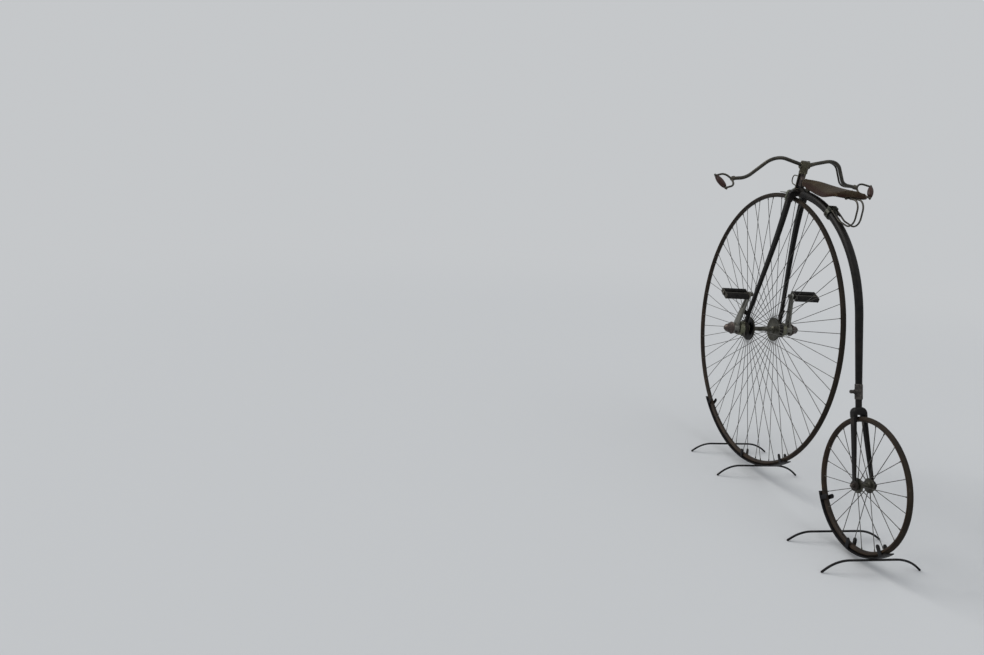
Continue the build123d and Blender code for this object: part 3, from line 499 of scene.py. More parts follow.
feed(tree, tree.nodes["Material Output"], {"Surface": faded})
print("camera, floor and lamps set")

wheels = dict(
    front=dict(
        place=frontAxle, body="front_wheel", radius=0.65, steps=224, spokes=64, flange=0.0575,
        flangeY=0.066),
    rear=dict(
        place=rearAxle, body="rear_wheel", radius=0.256, steps=112, spokes=24, flange=0.029, flangeY=0.024))
rim = dict(
    tyre=0.01, worn=0.0004, rimInside=0.0102, rimWall=0.0018, bead=0.0013, spoke=0.0014, spokeSink=0.005,
    spokeRimY=0.004, butt=1.3, buttTo=0.022, thinFrom=0.03, thinTo=0.011, nipple=0.0026, nippleFrom=0.004)


def aboutAxle(bm, radius, steps):  # moves a section out to its radius and turns it about the axle
    bmesh.ops.translate(bm, vec=(radius, 0, 0), verts=bm.verts)
    bmesh.ops.spin(bm, geom=list(bm.verts) + list(bm.edges), cent=(0, 0, 0), axis=zWay, dvec=(0, 0, 0),
                   angle=2 * pi, steps=steps, use_merge=True)
    bmesh.ops.recalc_face_normals(bm, faces=bm.faces)
    return bm


def roundSection(radius, segments=24):
    bm = bmesh.new()
    bmesh.ops.create_circle(bm, segments=segments, radius=radius, matrix=Matrix.Rotation(pi / 2, 4, "X"))
    return bm


for name, wheel in wheels.items():
    place, body, radius, steps = pick(wheel, "place body radius steps")
    section = roundSection(rim["tyre"])
    for vert in section.verts:  # the tread is worn a little flat
        vert.co.x = min(vert.co.x, rim["tyre"] - rim["worn"])
    bm = bmesh.new()
    add(bm, aboutAxle(section, radius, steps), place)
    makePiece(name + "_tyre_rubber", bm, body, ["tyreRubber"])

    wallMiddle = rim["rimInside"] + rim["rimWall"] / 2
    section = roundSection(wallMiddle, 32)
    bmesh.ops.bisect_plane(section, geom=list(section.verts) + list(section.edges),
                           plane_co=(1e-5, 0, 0), plane_no=xWay, clear_outer=True)
    channel = aboutAxle(section, radius, steps)
    bmesh.ops.solidify(channel, geom=list(channel.faces), thickness=rim["rimWall"] / 2)
    bmesh.ops.recalc_face_normals(channel, faces=channel.faces)
    bm = bmesh.new()
    add(bm, channel, place)
    for side in (-1, 1):
        bead = aboutAxle(roundSection(rim["bead"], 12), radius, steps)
        add(bm, bead, place @ moved(z=side * wallMiddle))
    makePiece(name + "_rim_channel", bm, body, ["rimEnamel"])

    bm = bmesh.new()
    thin, nipple = rim["spoke"], rim["nipple"]
    butt = thin * rim["butt"]
    for i in range(wheel["spokes"]):
        side = 1 if i % 2 else -1
        start = Vector((wheel["flange"] - rim["spokeSink"], 0, side * wheel["flangeY"]))
        end = Vector((radius - wallMiddle, 0, side * rim["spokeRimY"]))
        long = (end - start).length
        spoke = turned([(0, 0), (butt, 0), (butt, rim["buttTo"]), (thin, rim["thinFrom"]),
                        (thin, long - rim["thinTo"]), (nipple, long - rim["nippleFrom"]),
                        (nipple, long), (0, long)], 8)
        turn = Matrix.Rotation(-2 * pi * i / wheel["spokes"], 4, "Z")
        add(bm, spoke, place @ turn @ placed(start, yWay, end - start))
    makePiece(name + "_spoke_set", bm, body, ["spokeSteel"], name + "_spokes")
print("tyres, rims and spokes made")

# half profiles of the hubs, width and radius, from the middle outwards; painted is the outside of the
# flanges: from width, to width, from radius
hubs = dict(
    front=(
        (0.0, 0.0105), (0.05, 0.0105), (0.054, 0.013), (0.0575, 0.02), (0.0615, 0.0205), (0.0632, 0.0245),
        (0.064, 0.048), (0.0626, 0.0505), (0.0626, 0.057), (0.0636, 0.0575), (0.0686, 0.0575),
        (0.0694, 0.0568), (0.0694, 0.0505), (0.068, 0.048), (0.0684, 0.026), (0.0705, 0.0215),
        (0.0735, 0.0205), (0.0745, 0.0125), (0.0752, 0.011), (0.147, 0.011), (0.147, 0.0)),
    rear=(
        (0.0, 0.0105), (0.018, 0.011), (0.0205, 0.0135), (0.0217, 0.02), (0.0215, 0.0285), (0.0222, 0.029),
        (0.0262, 0.029), (0.0266, 0.028), (0.0266, 0.018), (0.0275, 0.014), (0.0285, 0.012), (0.029, 0.011),
        (0.029, 0.0058)),
    painted=(0.0665, 0.072, 0.022))


def onFlange(spot):
    paintFrom, paintTo, paintRadius = hubs["painted"]
    out = spot - frontHub
    return paintFrom < abs(out.y) < paintTo and Vector((out.x, 0, out.z)).length > paintRadius


for name, wheel in wheels.items():
    bm = bmesh.new()
    for side in (1, -1):
        half = turned([(r, z) for z, r in hubs[name]], 64)
        if side < 0:
            bmesh.ops.scale(half, vec=(1, 1, -1), verts=half.verts)
            bmesh.ops.reverse_faces(half, faces=half.faces)
        add(bm, half, wheel["place"])
    bmesh.ops.remove_doubles(bm, verts=bm.verts, dist=samePoint)
    if name == "front":
        paint(bm, 1, onFlange)
    makePiece(name + "_hub_turned", bm, wheel["body"], ["oiledSteel", "blackEnamel"])
print("hubs made")

crank = dict(
    length=0.182, hubY=0.139, dish=0.028, thick=0.011, soft=0.002, hubEnd=0.021, pedalEnd=0.013,
    slotFrom=0.1138, slotRadius=0.0056, lean=13.0, pin=0.008, pinX=-0.012, pinEnds=(-0.034, 0.031),
    pinNut=(0.013, 0.006), pinNutAt=-0.0335, barHoles=4, barHoleAt=(0.0196, 0, 0.0185), barHoleTurn=0.4,
    barHoleWay=(0.93, 0, 0.37))
crankWay = (-sin(radians(crank["lean"])), 0, cos(radians(crank["lean"])))
crankPlace = placed(frontHub + Vector((0, crank["hubY"], 0)), crankWay, yWay)
dished = Matrix.Rotation(asin(crank["dish"] / crank["length"]), 4, "Y")
bossProfile = ring(0.0112, 0.027, -0.015, 0.015, 0.0025)
nutProfile = [
    (0, 0), (0.0292, 0), (0.03, 0.001), (0.03, 0.0035), (0.0262, 0.0055), (0.0255, 0.0078),
    (0.0262, 0.0092), (0.0235, 0.0125), (0.0175, 0.0265), (0.0182, 0.0285), (0.017, 0.0305),
    (0.0115, 0.0355), (0.0085, 0.0385), (0.005, 0.0398), (0, 0.04)]
holeProfile = [(0.0016, 0), (0.0036, 0), (0.0036, 0.0012), (0.0022, 0.0012), (0.0016, 0.0004)]
for name, side in sides:
    bm = bmesh.new()
    length, slotRadius, pinX = pick(crank, "length slotRadius pinX")
    outline = stadium(0, crank["hubEnd"], length, crank["pedalEnd"])
    slot = stadium(crank["slotFrom"], slotRadius, length, slotRadius)
    blade = plate(outline, crank["thick"], crank["soft"], slot)
    add(bm, blade, crankPlace @ dished, side=side)
    add(bm, turned(bossProfile, 48, closed=True, bevel=0.0005), crankPlace, side=side)
    pinEnds = [(pinX, y, 0) for y in crank["pinEnds"]]
    add(bm, rodBetween(*pinEnds, crank["pin"]), crankPlace, 1, side)
    nutSpot = placed((pinX, crank["pinNutAt"], 0), xWay, yWay)
    add(bm, hexNut(*crank["pinNut"]), crankPlace @ nutSpot, 1, side)
    makePiece("crank_" + name + "_slotted", bm, "front_wheel", ["crankNickel", "plainSteel"])

    bm = bmesh.new()
    nutPlace = crankPlace @ moved(z=bossProfile[-1][1])
    add(bm, turned(nutProfile, 56), nutPlace, side=side)
    holeSpot = placed(crank["barHoleAt"], yWay, crank["barHoleWay"])
    for i in range(crank["barHoles"]):  # holes for a turning bar, with raised rims
        turn = Matrix.Rotation(pi / 2 * i + crank["barHoleTurn"], 4, "Z")
        add(bm, turned(holeProfile, 16, closed=True), nutPlace @ turn @ holeSpot, 1, side)
    makePiece("crank_nut_" + name + "_tapered", bm, "front_wheel", ["brownedSteel", "darkPlate"])
print("cranks made")

pedal = dict(
    inner=0.122, length=0.117, spindle=0.0055, clear=0.003, nut=(0.0175, 0.008), washer=0.0105,
    washerFrom=0.0005, washerTo=0.0015, block=(0.021, 0.024), blockCorner=(0.0014, 0.005), blockEnds=0.0062,
    spacing=0.04, tilt=-25.0, plate=(0.065, 0.024, 0.006), plateThick=0.003, plateIn=0.0015,
    rivet=(0.0045, 0.0026), rivetOut=0.0014, grooves=(0.0052, 0.0, -0.0052), groove=0.0016,
    grooveTop=0.0013, grooveFloor=0.0007, tube=(0.0056, 0.0074, 0.0085), tubeRing=(0.012, 0.016))
tilt = radians(pedal["tilt"])
spindlePlace = placed((pedalAxis.x, 0, pedalAxis.z), xWay, yWay)
pedalPlace = placed((pedalAxis.x, 0, pedalAxis.z), (cos(tilt), 0, -sin(tilt)), yWay)
inner, long, clear = pick(pedal, "inner length clear")
outer = inner + long
capProfile = [(0, 0), (0.0085, 0), (0.0085, 0.0022), (0.007, 0.0036), (0.003, 0.004), (0, 0.004)]


def groovedBlock():  # section of a rubber, with grooves above and below
    halfWide, halfHigh = [size / 2 for size in pedal["block"]]
    corner, side = pedal["blockCorner"]
    lip, bottom = pedal["grooveTop"], pedal["grooveFloor"]
    floorOfGroove = halfHigh - pedal["groove"]
    top = [(halfWide, halfHigh - side), (halfWide - corner, halfHigh - corner)]
    for x in pedal["grooves"]:
        top += [(x + lip, halfHigh), (x + bottom, floorOfGroove), (x - bottom, floorOfGroove),
                (x - lip, halfHigh)]
    top += [(-halfWide + corner, halfHigh - corner), (-halfWide, halfHigh - side)]
    return top + [(-x, -y) for x, y in top]


for name, side in sides:
    bm = bmesh.new()
    spindleIn = crank["hubY"] - crank["dish"] - crank["thick"] / 2 - clear
    spindleOut = outer + clear
    add(bm, disc(pedal["spindle"], spindleIn, spindleOut, 24), spindlePlace, side=side)
    nut, nutHigh = pedal["nut"]
    add(bm, hexNut(nut, nutHigh), spindlePlace @ moved(z=spindleIn - nutHigh), side=side)
    low, high = spindleIn - pedal["washerFrom"], spindleIn + pedal["washerTo"]
    add(bm, washer(pedal["washer"], low, high), spindlePlace, side=side)
    add(bm, turned(capProfile, 28), spindlePlace @ moved(z=spindleOut), side=side)
    makePiece("pedal_spindle_" + name + "_steel", bm, "front_wheel", ["plainSteel"])

    bm = bmesh.new()
    bore, thin, thick = pedal["tube"]
    ringTo, thinFrom = pedal["tubeRing"]
    tube = turned([(bore, 0), (thick, 0), (thick, ringTo), (thin, thinFrom), (thin, long - thinFrom),
                   (thick, long - ringTo), (thick, long), (bore, long)], 28, closed=True)
    add(bm, tube, pedalPlace @ moved(z=inner), side=side)
    blocks = (-pedal["spacing"] / 2, pedal["spacing"] / 2)
    for at, out in ((inner + pedal["plateIn"], -1), (outer - pedal["plateIn"], 1)):
        end = plate(roundedBox(*pedal["plate"]), pedal["plateThick"], 0.0006)
        add(bm, end, pedalPlace @ moved(z=at), side=side)
        for x in blocks:
            spot = placed((x, 0, at + out * pedal["rivetOut"]), xWay, zWay * out)
            add(bm, rivetHead(*pedal["rivet"]), pedalPlace @ spot, 1, side)
    makePiece("pedal_frame_" + name + "_plates", bm, "pedal_" + name, ["darkPlate", "plainSteel"])

    bm = bmesh.new()
    for x in blocks:
        rubber = plate(groovedBlock(), long - pedal["blockEnds"], 0.0007)
        add(bm, rubber, pedalPlace @ moved(x, 0, (inner + outer) / 2), side=side)
    makePiece("pedal_rubbers_" + name + "_grooved", bm, "pedal_" + name, ["pedalRubber"])
print("pedals made")

bearing = dict(
    middle=0.099, boltX=0.026, bolt=0.011, boltFrom=-0.022, boltTo=0.03, nut=(0.014, 0.006), nutAt=0.0265,
    cupAt=(0.024, -0.024, 0.108), cupWay=(0.7, -0.7, 0), stop=(0, 0.009, 0.022, 0.0065), stopThick=0.01,
    stopAt=(0.006, 0.094, 0.078))
housingProfile = [
    (0.0112, 0.076), (0.0285, 0.076), (0.0305, 0.0775), (0.0305, 0.081), (0.034, 0.083), (0.034, 0.0965),
    (0.0325, 0.0975), (0.0325, 0.1005), (0.034, 0.1015), (0.034, 0.1165), (0.0315, 0.1185),
    (0.0315, 0.1205), (0.0295, 0.122), (0.0112, 0.122)]
oilCupProfile = [
    (0, 0), (0.0035, 0), (0.0035, 0.004), (0.0065, 0.006), (0.0065, 0.012), (0.004, 0.0145), (0, 0.015)]
eyeProfile = ring(0.0342, 0.0395, 0.0835, 0.0975, 0.001)
for name, side in sides:
    bm = bmesh.new()
    add(bm, turned(housingProfile, 56, closed=True), frontAxle, side=side)
    middle = bearing["middle"]
    for x in (-bearing["boltX"], bearing["boltX"]):  # bolts of the split cap
        ends = [(x, bearing[end], middle) for end in ("boltFrom", "boltTo")]
        add(bm, rodBetween(*ends, bearing["bolt"]), frontAxle, 1, side)
        nutSpot = placed((x, bearing["nutAt"], middle), xWay, yWay)
        add(bm, hexNut(*bearing["nut"]), frontAxle @ nutSpot, 1, side)
    cupSpot = placed(bearing["cupAt"], zWay, bearing["cupWay"])
    add(bm, turned(oilCupProfile, 20), frontAxle @ cupSpot, 2, side)
    makePiece("bearing_" + name + "_housing", bm, "fork", ["bearingNickel", "plainSteel", "brassRivet"])

    bm = bmesh.new()
    add(bm, fromNode("fork_leg_" + name, flatten=False))
    add(bm, turned(eyeProfile, 56, closed=True), frontAxle, side=side)
    stop = plate(stadium(*bearing["stop"], 12), bearing["stopThick"], 0.0012)
    stopSpot = placed(bearing["stopAt"], (0.6, 0.6, 0.5), (-0.6, 0.7, 0))
    add(bm, stop, steer @ stopSpot, side=side)
    makePiece("fork_leg_" + name + "_blade", bm, "fork", ["blackEnamel"])

arch = dict(
    soft=0.0022, top=0.69, sink=0.0005, seat=0.0235, seatHigh=0.006, half=0.0462, rivet=(0.0055, 0.003),
    rivetHeight=0.655, rivetX=0.01, brightFrom=0.003)
bm = bmesh.new()
add(bm, fromNode("fork_crown", arch["soft"], segments=3))
seat = disc(arch["seat"], arch["top"] - arch["sink"], arch["top"] + arch["seatHigh"], 48, 0.0012)
add(bm, seat, steer)
for side in (-1, 1):
    for x in (-arch["rivetX"], arch["rivetX"]):
        spot = placed((x, side * arch["half"], arch["rivetHeight"]), xWay, yWay * side)
        add(bm, rivetHead(*arch["rivet"]), steer @ spot)
brightFrom = arch["brightFrom"]  # the front of the crown is bright
cutAcross(bm, steer @ Vector((brightFrom, 0, 0)), steer.to_3x3() @ xWay)
paint(bm, 1, lambda spot: (steer.inverted() @ spot).x > brightFrom)
makePiece("fork_crown_arch", bm, "fork", ["blackEnamel", "shoePlate"])
print("fork made")

head = dict(
    soft=0.0009, collarBore=0.0172, collarEdge=(0.0008, 0.001),
    collars=((0.7725, 0.0192, 0.004), (0.7005, 0.019, 0.003)), bar=(0.002, 0.0, 0.804), lugCollarY=0.018,
    capNutY=0.0155, neckSoft=0.0012, blackBelow=0.716)
headCap = [(0, 0.8232), (0.0085, 0.8232), (0.0085, 0.8246), (0.0072, 0.8252), (0, 0.8254)]
capNut = [(0, 0.81), (0.0066, 0.81), (0.0066, 0.8215), (0.0056, 0.8245), (0.003, 0.8262), (0, 0.8266)]
lugCollar = ring(0.0085, 0.014, 0.0, 0.0046, 0.0012)
bore, lowCollar = head["collarBore"], head["collars"][1][0]
bm = bmesh.new()
add(bm, fromNode("steering_head", head["soft"]))
for at, radius, high in head["collars"]:
    collar = ring(bore, radius, at, at + high, *head["collarEdge"])
    add(bm, turned(collar, 48, closed=True), steer)
add(bm, turned(headCap, 32), steer)
for side in (-1, 1):  # collars where the bar leaves the lug, and the cap nuts that hold it
    collarSpot = placed((0, side * head["lugCollarY"], 0), xWay, yWay * side)
    lugPlace = steer @ Matrix.Translation(head["bar"]) @ collarSpot
    add(bm, turned(lugCollar, 40, closed=True), lugPlace)
    nutPlace = steer @ moved(head["bar"][0], side * head["capNutY"], 0)
    add(bm, turned(capNut, 24), nutPlace, 1)
paint(bm, 2, lambda spot: (steer.inverted() @ spot).z < lowCollar)
makePiece("steering_head_column", bm, "fork", ["headNickel", "darkPlate", "blackEnamel"])

bm = bmesh.new()
neck = fromNode("neck", head["neckSoft"])
blackBelow = head["blackBelow"]  # the barrel's upper part has lost its paint
cutAcross(neck, steer @ Vector((0, 0, blackBelow)), steerAxis)
add(bm, neck)
paint(bm, 1, lambda spot: (steer.inverted() @ spot).z > blackBelow)
makePiece("neck_forging", bm, "frame", ["blackEnamel", "brownedSteel"])

makeFromNode("brake_spoon", "shoe", "fork", "shoePlate", 0.0006)

link = dict(
    low=0.705, high=0.752, face=0.018, out=0.056, bend=0.018, wire=0.005, end=0.0044, endOut=0.0012,
    topSlope=0.004, lowSlope=0.006)
face, low, high = pick(link, "face low high")
topSlope, lowSlope = link["topSlope"], link["lowSlope"]
route = [(face, 0, high), (face + link["out"] - topSlope, 0, high - topSlope),
         (face + link["out"], 0, low + lowSlope), (face, 0, low)]
bm = bmesh.new()
add(bm, wire(route, [link["bend"]] * 2, link["wire"]), steer)
for at in (low, high):
    add(bm, ball(link["end"]), steer @ moved(face + link["endOut"], 0, at))
makePiece("brake_link_wire", bm, "fork", ["headNickel"])
print("head and brake made")

bar = dict(
    diameter=0.016, middle=(0.002, 0.0, 0.804), hump=(0.0, 0.15, 0.842), drop=(0.046, 0.242, 0.723),
    end=(0.044, 0.304, 0.716), bends=(0.082, 0.062, 0.04))
leftBar = [Vector(bar[point]) for point in ("hump", "drop", "end")]
rightBar = [Vector((point.x, -point.y, point.z)) for point in leftBar]
wide, narrow, top = bar["bends"]
route = rightBar[::-1] + [bar["middle"]] + leftBar
bm = bmesh.new()
add(bm, wire(route, [narrow, wide, top, wide, narrow], bar["diameter"], sides=6, steps=14), steer)
makePiece("handlebar_bent", bm, "fork", ["darkPlate"])

grip = dict(
    middle=(0.018, 0.3714, 0.703), rise=0.62, half=0.039, wire=0.009, bends=(0.03, 0.032, 0.03), root=0.004,
    shoulder=0.012, rod=0.006, knob=0.0065, cap=0.0042, capOut=0.0052, capHigh=0.0035, barrelHalf=0.0322,
    bore=0.0031, big=0.0135, small=0.0085, proud=0.0002, swellShare=0.82, swellSteps=10,
    bead=((-0.0006, 0), (0.0006, 0.0014), (0.0004, 0.0034), (-0.0002, 0.0046)))  # out, up from the end
socketProfile = [
    (0, -0.008), (0.0088, -0.008), (0.0105, -0.0065), (0.0105, 0.006), (0.009, 0.01), (0.006, 0.0125),
    (0, 0.013)]
half, long, big, small = pick(grip, "half barrelHalf big small")
root = grip["wire"] / 2 + grip["root"]
shoulder = root + grip["shoulder"]
for name, side in sides:
    end, middle = [Vector((point[0], side * point[1], point[2])) for point in (bar["end"], grip["middle"])]
    out = middle - end
    reach = out.length
    gripPlace = steer @ placed(end, (1, 0, grip["rise"]), out)
    bow = [(-half, 0, reach), (-half, 0, shoulder), (0, 0, root), (half, 0, shoulder), (half, 0, reach)]
    bm = bmesh.new()
    add(bm, wire(bow, grip["bends"], grip["wire"], sides=5), gripPlace)
    add(bm, turned(socketProfile, 32), gripPlace)
    for way in (-1, 1):
        add(bm, ball(grip["knob"]), gripPlace @ moved(way * half, 0, reach))
        capSpot = placed((way * (half + grip["capOut"]), 0, reach), zWay, xWay * way)
        add(bm, disc(grip["cap"], 0.0, grip["capHigh"], 20, 0.0006), gripPlace @ capSpot)
    add(bm, rodBetween((-half, 0, reach), (half, 0, reach), grip["rod"]), gripPlace)
    makePiece("grip_loop_" + name + "_bow", bm, "fork", ["darkPlate"])

    bm = bmesh.new()
    rings = [(grip["bore"], -long)] + [(small + out, up - long) for out, up in grip["bead"]]
    share, steps = grip["swellShare"], grip["swellSteps"]
    swell = []
    for i in range(steps + 1):
        along = -share + 2 * share * i / steps
        swell.append((small + (big - small) * (1 - along * along) + grip["proud"], long * along))
    barrel = turned(rings + swell + [(r, -z) for r, z in rings[::-1]], 40, closed=True)
    add(bm, barrel, gripPlace @ placed((0, 0, reach), zWay, xWay))
    makePiece("wood_grip_" + name + "_barrel", bm, "fork", ["gripWood"])

# out is how far the lever stands off each point of the bar
lever = dict(
    diameter=0.008, pivot=(0.028, -0.02, 0.788), ball=0.006, tip=0.0052,
    out=((0.026, 0.0, 0.0), (0.02, 0.0, -0.012), (0.024, 0.0, -0.006)))
route = [Vector(lever["pivot"])]
route += [point + Vector(out) for point, out in zip(rightBar, lever["out"])]
bm = bmesh.new()
add(bm, wire(route, [wide, narrow], lever["diameter"], sides=5, steps=14), steer)
add(bm, ball(lever["ball"]), steer @ Matrix.Translation(route[0]))
add(bm, ball(lever["tip"]), steer @ Matrix.Translation(route[-1]))
makePiece("brake_lever_rod", bm, "fork", ["darkPlate"])
print("handlebar, grips and lever made")

backbone = dict(
    radius=0.613, centre=(-0.1265, 0.0535), topAngle=95.6, thick=(0.037, 0.031, 0.0235),
    crown=(0.10502, 0.26204))
spine = backbone["radius"]
arcCentre = frontHub + Vector((backbone["centre"][0], 0, backbone["centre"][1]))
low = rearHub + Vector((backbone["crown"][0], 0, backbone["crown"][1]))
back = arcCentre - low
topAngle = radians(backbone["topAngle"])
touchAngle = (atan2(-back.z, -back.x) - acos(spine / back.length)) % (2 * pi)
middleAngle = (topAngle + touchAngle) / 2


def onArc(angle, radius=spine):
    return arcCentre + Vector((cos(angle), 0, sin(angle))) * radius


touch = onArc(touchAngle)
corner = onArc(middleAngle, spine / cos((touchAngle - topAngle) / 2))
topThick, midThick, lowThick = backbone["thick"]
swell = [1, 1, midThick / topThick, lowThick / topThick]
bend = spine * 0.99999  # a hair under, so that the bend's end stays apart from the tube's end
bm = bmesh.new()
add(bm, wire([onArc(topAngle), corner, low], [bend], topThick, swell=swell, sides=8, steps=48))
makePiece("backbone_tube", bm, "frame", ["blackEnamel"])

makeFromNode("rear_crown", "block", "frame", "blackEnamel", 0.0012)
for name, side in sides:
    makeFromNode("rear_leg_" + name, "blade", "frame", "blackEnamel", flatten=False)

axle = dict(
    fork=0.0415, radius=0.0055, tip=0.0047, tipHigh=0.001, over=0.014, nut=(0.0173, 0.009, 0.001),
    nutOut=0.0012, washer=0.0115, washerFrom=0.0001, washerTo=0.0016)
coneCollar = ring(0.0056, 0.009, 0.0296, 0.0344, 0.0008)
forkY, radius, tip = pick(axle, "fork radius tip")
axleEnd = forkY + axle["over"]
tipFrom = axleEnd - axle["tipHigh"]
bm = bmesh.new()
add(bm, turned([(0, -axleEnd), (tip, -axleEnd), (radius, -tipFrom), (radius, tipFrom), (tip, axleEnd),
                (0, axleEnd)], 24), rearAxle)
for name, side in sides:
    add(bm, hexNut(*axle["nut"]), rearAxle @ moved(z=forkY + axle["nutOut"]), side=side)
    under = washer(axle["washer"], forkY + axle["washerFrom"], forkY + axle["washerTo"])
    add(bm, under, rearAxle, side=side)
    add(bm, turned(coneCollar, 28, closed=True), rearAxle, side=side)
makePiece("rear_axle_nuts", bm, "frame", ["brownedSteel"])
print("backbone and rear fork made")

step = dict(
    along=0.08, tube=0.01175, tubeGap=0.0002, band=0.01505, bandHalf=0.03, bandEdge=(0.0012, 0.0015),
    shoulder=0.0095, foot=((0.003, 0.011), (0.0006, 0.0145), (0, 0.016), (0, 0.0184), (-0.0006, 0.019)),
    root=0.011, seat=0.019, peg=0.007, end=0.037, endEdge=0.0012, rings=8, ringFrom=0.0022,
    ringEvery=0.0019, ring=(0.0004, 0.0002, 0.0005), screw=(0.0042, 0.0022), screwsAt=(-0.02, 0.02),
    screwSink=0.0004)
stepWay = (touch - low).normalized()
stepPlace = placed(low + stepWay * step["along"], (stepWay.z, 0, -stepWay.x), stepWay)
pegPlace = stepPlace @ placed((0, 0, 0), xWay, yWay)
inside, outside, halfBand = step["tube"] + step["tubeGap"], step["band"], step["bandHalf"]
bm = bmesh.new()
band = ring(inside, outside, -halfBand, halfBand, *step["bandEdge"])
add(bm, turned(band, 48, closed=True), stepPlace)
shoulder, root, seat, peg, end = pick(step, "shoulder root seat peg end")
tipEdge = step["endEdge"]
foot = [(shoulder + out, up) for out, up in step["foot"]]
pegProfile = [(0, root)] + foot + [(peg, seat), (peg, end - tipEdge), (peg - tipEdge, end), (0, end)]
add(bm, turned(pegProfile, 36), pegPlace)
ringIn, ringOut, ringHalf = step["ring"]
for i in range(step["rings"]):  # raised rings for the boot
    at = seat + step["ringFrom"] + i * step["ringEvery"]
    ridge = [(peg - ringIn, at - ringHalf), (peg + ringOut, at), (peg - ringIn, at + ringHalf)]
    add(bm, turned(ridge, 28, closed=True), pegPlace)
for at in step["screwsAt"]:  # screws on the far side
    spot = placed((0, -outside + step["screwSink"], at), xWay, -yWay)
    add(bm, rivetHead(*step["screw"]), stepPlace @ spot, 1)
makePiece("step_peg_band", bm, "frame", ["wornBand", "darkPlate"], "step")
print("step made")

# each row is: forward of the front hub, half width, height above it, skirt depth, crown
saddle = dict(
    rows=(
        (-0.176, 0.019, 0.731, 0.024, 0.01), (-0.29, 0.026, 0.725, 0.045, 0.012),
        (-0.4, 0.052, 0.71, 0.044, 0.016), (-0.49, 0.084, 0.7, 0.034, 0.017),
        (-0.545, 0.08, 0.698, 0.024, 0.015)),
    leather=0.0045, across=36, along=72, noseRound=(0.1, 2.6), tailRound=(0.13, 3.0), topShare=0.62,
    skirtFrom=0.56, skirtFade=0.2, smooth=3, edge=0.0012)
rows = saddle["rows"]
noseX, tailX = rows[0][0], rows[-1][0]


def between(t, column):  # a smooth curve through the rows, at t from 0 at the nose to 1 at the tail
    x = noseX + (tailX - noseX) * t
    last = len(rows) - 1
    after = max(1, next((i for i, row in enumerate(rows) if row[0] <= x + 1e-12), last))
    points = [rows[min(max(i, 0), last)][column] for i in range(after - 2, after + 2)]
    u = (x - rows[after - 1][0]) / (rows[after][0] - rows[after - 1][0])
    return 0.5 * (2 * points[1] + (points[2] - points[0]) * u
                  + (2 * points[0] - 5 * points[1] + 4 * points[2] - points[3]) * u * u
                  + (3 * points[1] - points[0] - 3 * points[2] + points[3]) * u ** 3)


def leatherPoint(t, u, sink=0.0):  # t from nose to tail, u from -1 at the left edge to 1 at the right
    half, top, depth, crown = [between(t, column) for column in (1, 2, 3, 4)]
    (nose, nosePower), (tail, tailPower) = saddle["noseRound"], saddle["tailRound"]
    closing = 1.0
    if t < nose:
        closing = max(0.0, 1 - (1 - t / nose) ** nosePower) ** (1 / nosePower)
    if t > 1 - tail:
        closing = max(0.0, 1 - ((t - 1) / tail + 1) ** tailPower) ** (1 / tailPower)
    half = (half - sink) * closing
    edge = saddle["topShare"]
    if abs(u) < edge:
        share = abs(u) / edge
        y = half * share
        z = top - sink - crown * share * share * (0.35 + 0.65 * closing) - crown * 0.4 * (1 - closing)
    else:
        share = (abs(u) - edge) / (1 - edge)
        y = half * (1 + 0.02 * sin(pi * share))
        z = top - sink - crown - (depth - crown) * share
    return frontHub + Vector((noseX + (tailX - noseX) * t, y if u < 0 else -y, z))


bm = bmesh.new()
bmesh.ops.create_grid(bm, x_segments=saddle["along"], y_segments=saddle["across"], size=1)
skirt = bm.verts.layers.float.new("skirt")
for vert in bm.verts:
    t, u = (vert.co.x + 1) / 2, -vert.co.y
    vert[skirt] = min(1.0, max(0.0, (abs(u) - saddle["skirtFrom"]) / saddle["skirtFade"]))
    vert.co = leatherPoint(t, u, saddle["leather"] / 2)
bmesh.ops.recalc_face_normals(bm, faces=bm.faces)
if sum(face.normal.z for face in bm.faces) < 0:
    bmesh.ops.reverse_faces(bm, faces=bm.faces)
for _ in range(saddle["smooth"]):
    inside = [vert for vert in bm.verts if not vert.is_boundary]
    bmesh.ops.smooth_vert(bm, verts=inside, factor=0.5, use_axis_x=True, use_axis_y=True, use_axis_z=True)
leather = makePiece("saddle_leather_top", bm, "frame", ["saddleLeather"], "saddle", 75)
thickness = leather.modifiers.new("thickness", "SOLIDIFY")
thickness.thickness, thickness.offset = saddle["leather"], 0
edges = leather.modifiers.new("edges", "BEVEL")
edges.width, edges.segments = saddle["edge"], 2
edges.limit_method, edges.angle_limit = "ANGLE", radians(60)

rivet = dict(
    size=(0.0052, 0.0022), sink=0.0004, tail=0.972, tailAcross=(-0.86, -0.55, -0.28, 0.0, 0.28, 0.55, 0.86),
    nose=((0.035, 0.0), (0.055, -0.8), (0.055, 0.8)))
below = frontHub + Vector((-0.38, 0, 0.66))  # a point inside the saddle
bm = bmesh.new()
for t, u in [(rivet["tail"], u) for u in rivet["tailAcross"]] + list(rivet["nose"]):
    here = leatherPoint(t, u)
    along = leatherPoint(min(t + 0.01, 1), u) - leatherPoint(max(t - 0.01, 0), u)
    aside = leatherPoint(t, min(u + 0.03, 1)) - leatherPoint(t, max(u - 0.03, -1))
    normal = aside.cross(along).normalized()
    if normal.dot(here - below) < 0:
        normal = -normal
    add(bm, rivetHead(*rivet["size"]), placed(here - normal * rivet["sink"], along, normal))
makePiece("saddle_rivets", bm, "frame", ["brassRivet"], "")

makeFromNode("saddle_frame", "steel", "frame", "darkPlate", 0.0008)

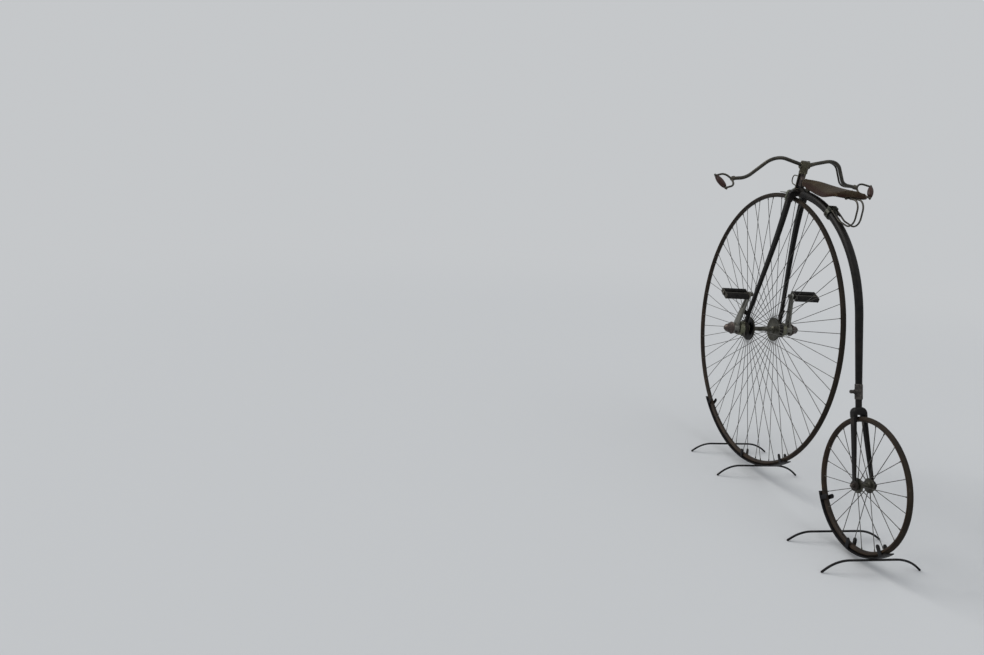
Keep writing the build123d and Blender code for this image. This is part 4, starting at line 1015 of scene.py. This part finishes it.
spring = dict(
    wire=0.007, half=0.012, bends=(0.036, 0.042, 0.06), end=0.0046,
    route=((-0.515, 0.668), (-0.612, 0.66), (-0.598, 0.545), (-0.5, 0.572), (-0.421, 0.622)))
bm = bmesh.new()
for side in (-1, 1):
    route = [frontHub + Vector((x, side * spring["half"], z)) for x, z in spring["route"]]
    add(bm, wire(route, spring["bends"], spring["wire"], sides=5, steps=12))
    for at in (route[0], route[-1]):
        add(bm, ball(spring["end"]), Matrix.Translation(at))
makePiece("saddle_spring_wires", bm, "frame", ["darkPlate"], "saddle_springs")

clamp = dict(
    x=-0.41296, tube=0.0184, collar=0.0235, half=0.013, soft=0.001, block=(0.016, 0.038, 0.024),
    blockCorner=(0.003, 0.0018), out=0.0245, topNut=(0.01, 0.0045), topNutSink=0.001, bolt=0.004,
    boltEnd=0.0445, plainNut=(0.012, 0.006), plainNutSink=0.002, wingAt=0.0385, wingSink=0.003, wing=0.003,
    wingSoft=0.0009, ear=(0, 0.0032, 0.015, 0.0045), earLean=0.12)
wingBase = [(0.0038, 0.0265), (0.0078, 0.0265), (0.0078, 0.03), (0.0058, 0.0415), (0.0038, 0.0415)]
run = clamp["x"] - backbone["centre"][0]
rise = (spine ** 2 - run ** 2) ** 0.5
clampAt = frontHub + Vector((clamp["x"], 0, backbone["centre"][1] + rise))
clampPlace = placed(clampAt, (run, 0, rise), (rise, 0, -run))
tube, collar, half, soft = pick(clamp, "tube collar half soft")
bm = bmesh.new()
add(bm, turned(ring(tube, collar, -half, half, soft), 48, closed=True), clampPlace)
thickX, wideY, longZ = clamp["block"]
corner, blockSoft = clamp["blockCorner"]
block = plate(roundedBox(thickX, wideY, corner), longZ, blockSoft)
add(bm, block, clampPlace @ moved(clamp["out"], 0, 0))
topFace = clamp["out"] + thickX / 2
topSpot = placed((topFace - clamp["topNutSink"], 0, 0), yWay, xWay)
add(bm, hexNut(*clamp["topNut"]), clampPlace @ topSpot, 1)
boltAcross = placed((0, 0, 0), zWay, yWay)  # this frame's Y points to the right of the machine
add(bm, disc(clamp["bolt"], tube, clamp["boltEnd"], 20, 0.0006), clampPlace @ boltAcross, 2)
plainSpot = placed((0, -collar + clamp["plainNutSink"], 0), zWay, -yWay)
add(bm, hexNut(*clamp["plainNut"]), clampPlace @ plainSpot, 1)
add(bm, turned(wingBase, 28, closed=True), clampPlace @ boltAcross, 2)
for way in (-1, 1):  # ears of the wing nut
    ear = plate(stadium(*clamp["ear"], 14), clamp["wing"], clamp["wingSoft"])
    earSpot = placed((0, clamp["wingAt"] - clamp["wingSink"], 0), (0, clamp["earLean"], way), xWay)
    add(bm, ear, clampPlace @ earSpot, 2)
makePiece("spring_clamp_block", bm, "frame", ["clampSteel", "darkPlate", "blackEnamel"])
print("saddle made")

stand = dict(strapEdge=0.0008, rod=0.009, half=0.205, shoulder=0.15, bend=0.15)
stands = (  # name, body, middle of the wheel, how far the rods are from it, their places ahead of it
    ("front", "fork", frontHub, 0.669, (0.138, -0.167)),
    ("rear", "frame", rearHub, 0.275, (0.112, -0.129)),
)
thin, half, shoulder = stand["rod"] / 2, stand["half"], stand["shoulder"]
for name, body, hub, reach, ahead in stands:
    makeFromNode(name + "_cradle", "strap", body, "standPaint", stand["strapEdge"])
    bm = bmesh.new()
    for x in ahead:
        height = hub.z - (reach ** 2 - x ** 2) ** 0.5
        across = ((-half, thin), (-shoulder, height), (shoulder, height), (half, thin))
        route = [(hub.x + x, y, z) for y, z in across]
        add(bm, wire(route, [stand["bend"]] * 2, stand["rod"], sides=5, steps=16))
        for end in (route[0], route[-1]):
            add(bm, ball(thin, 16), Matrix.Translation(end))
    makePiece(name + "_feet_rods", bm, body, ["standPaint"])
print("stands made")
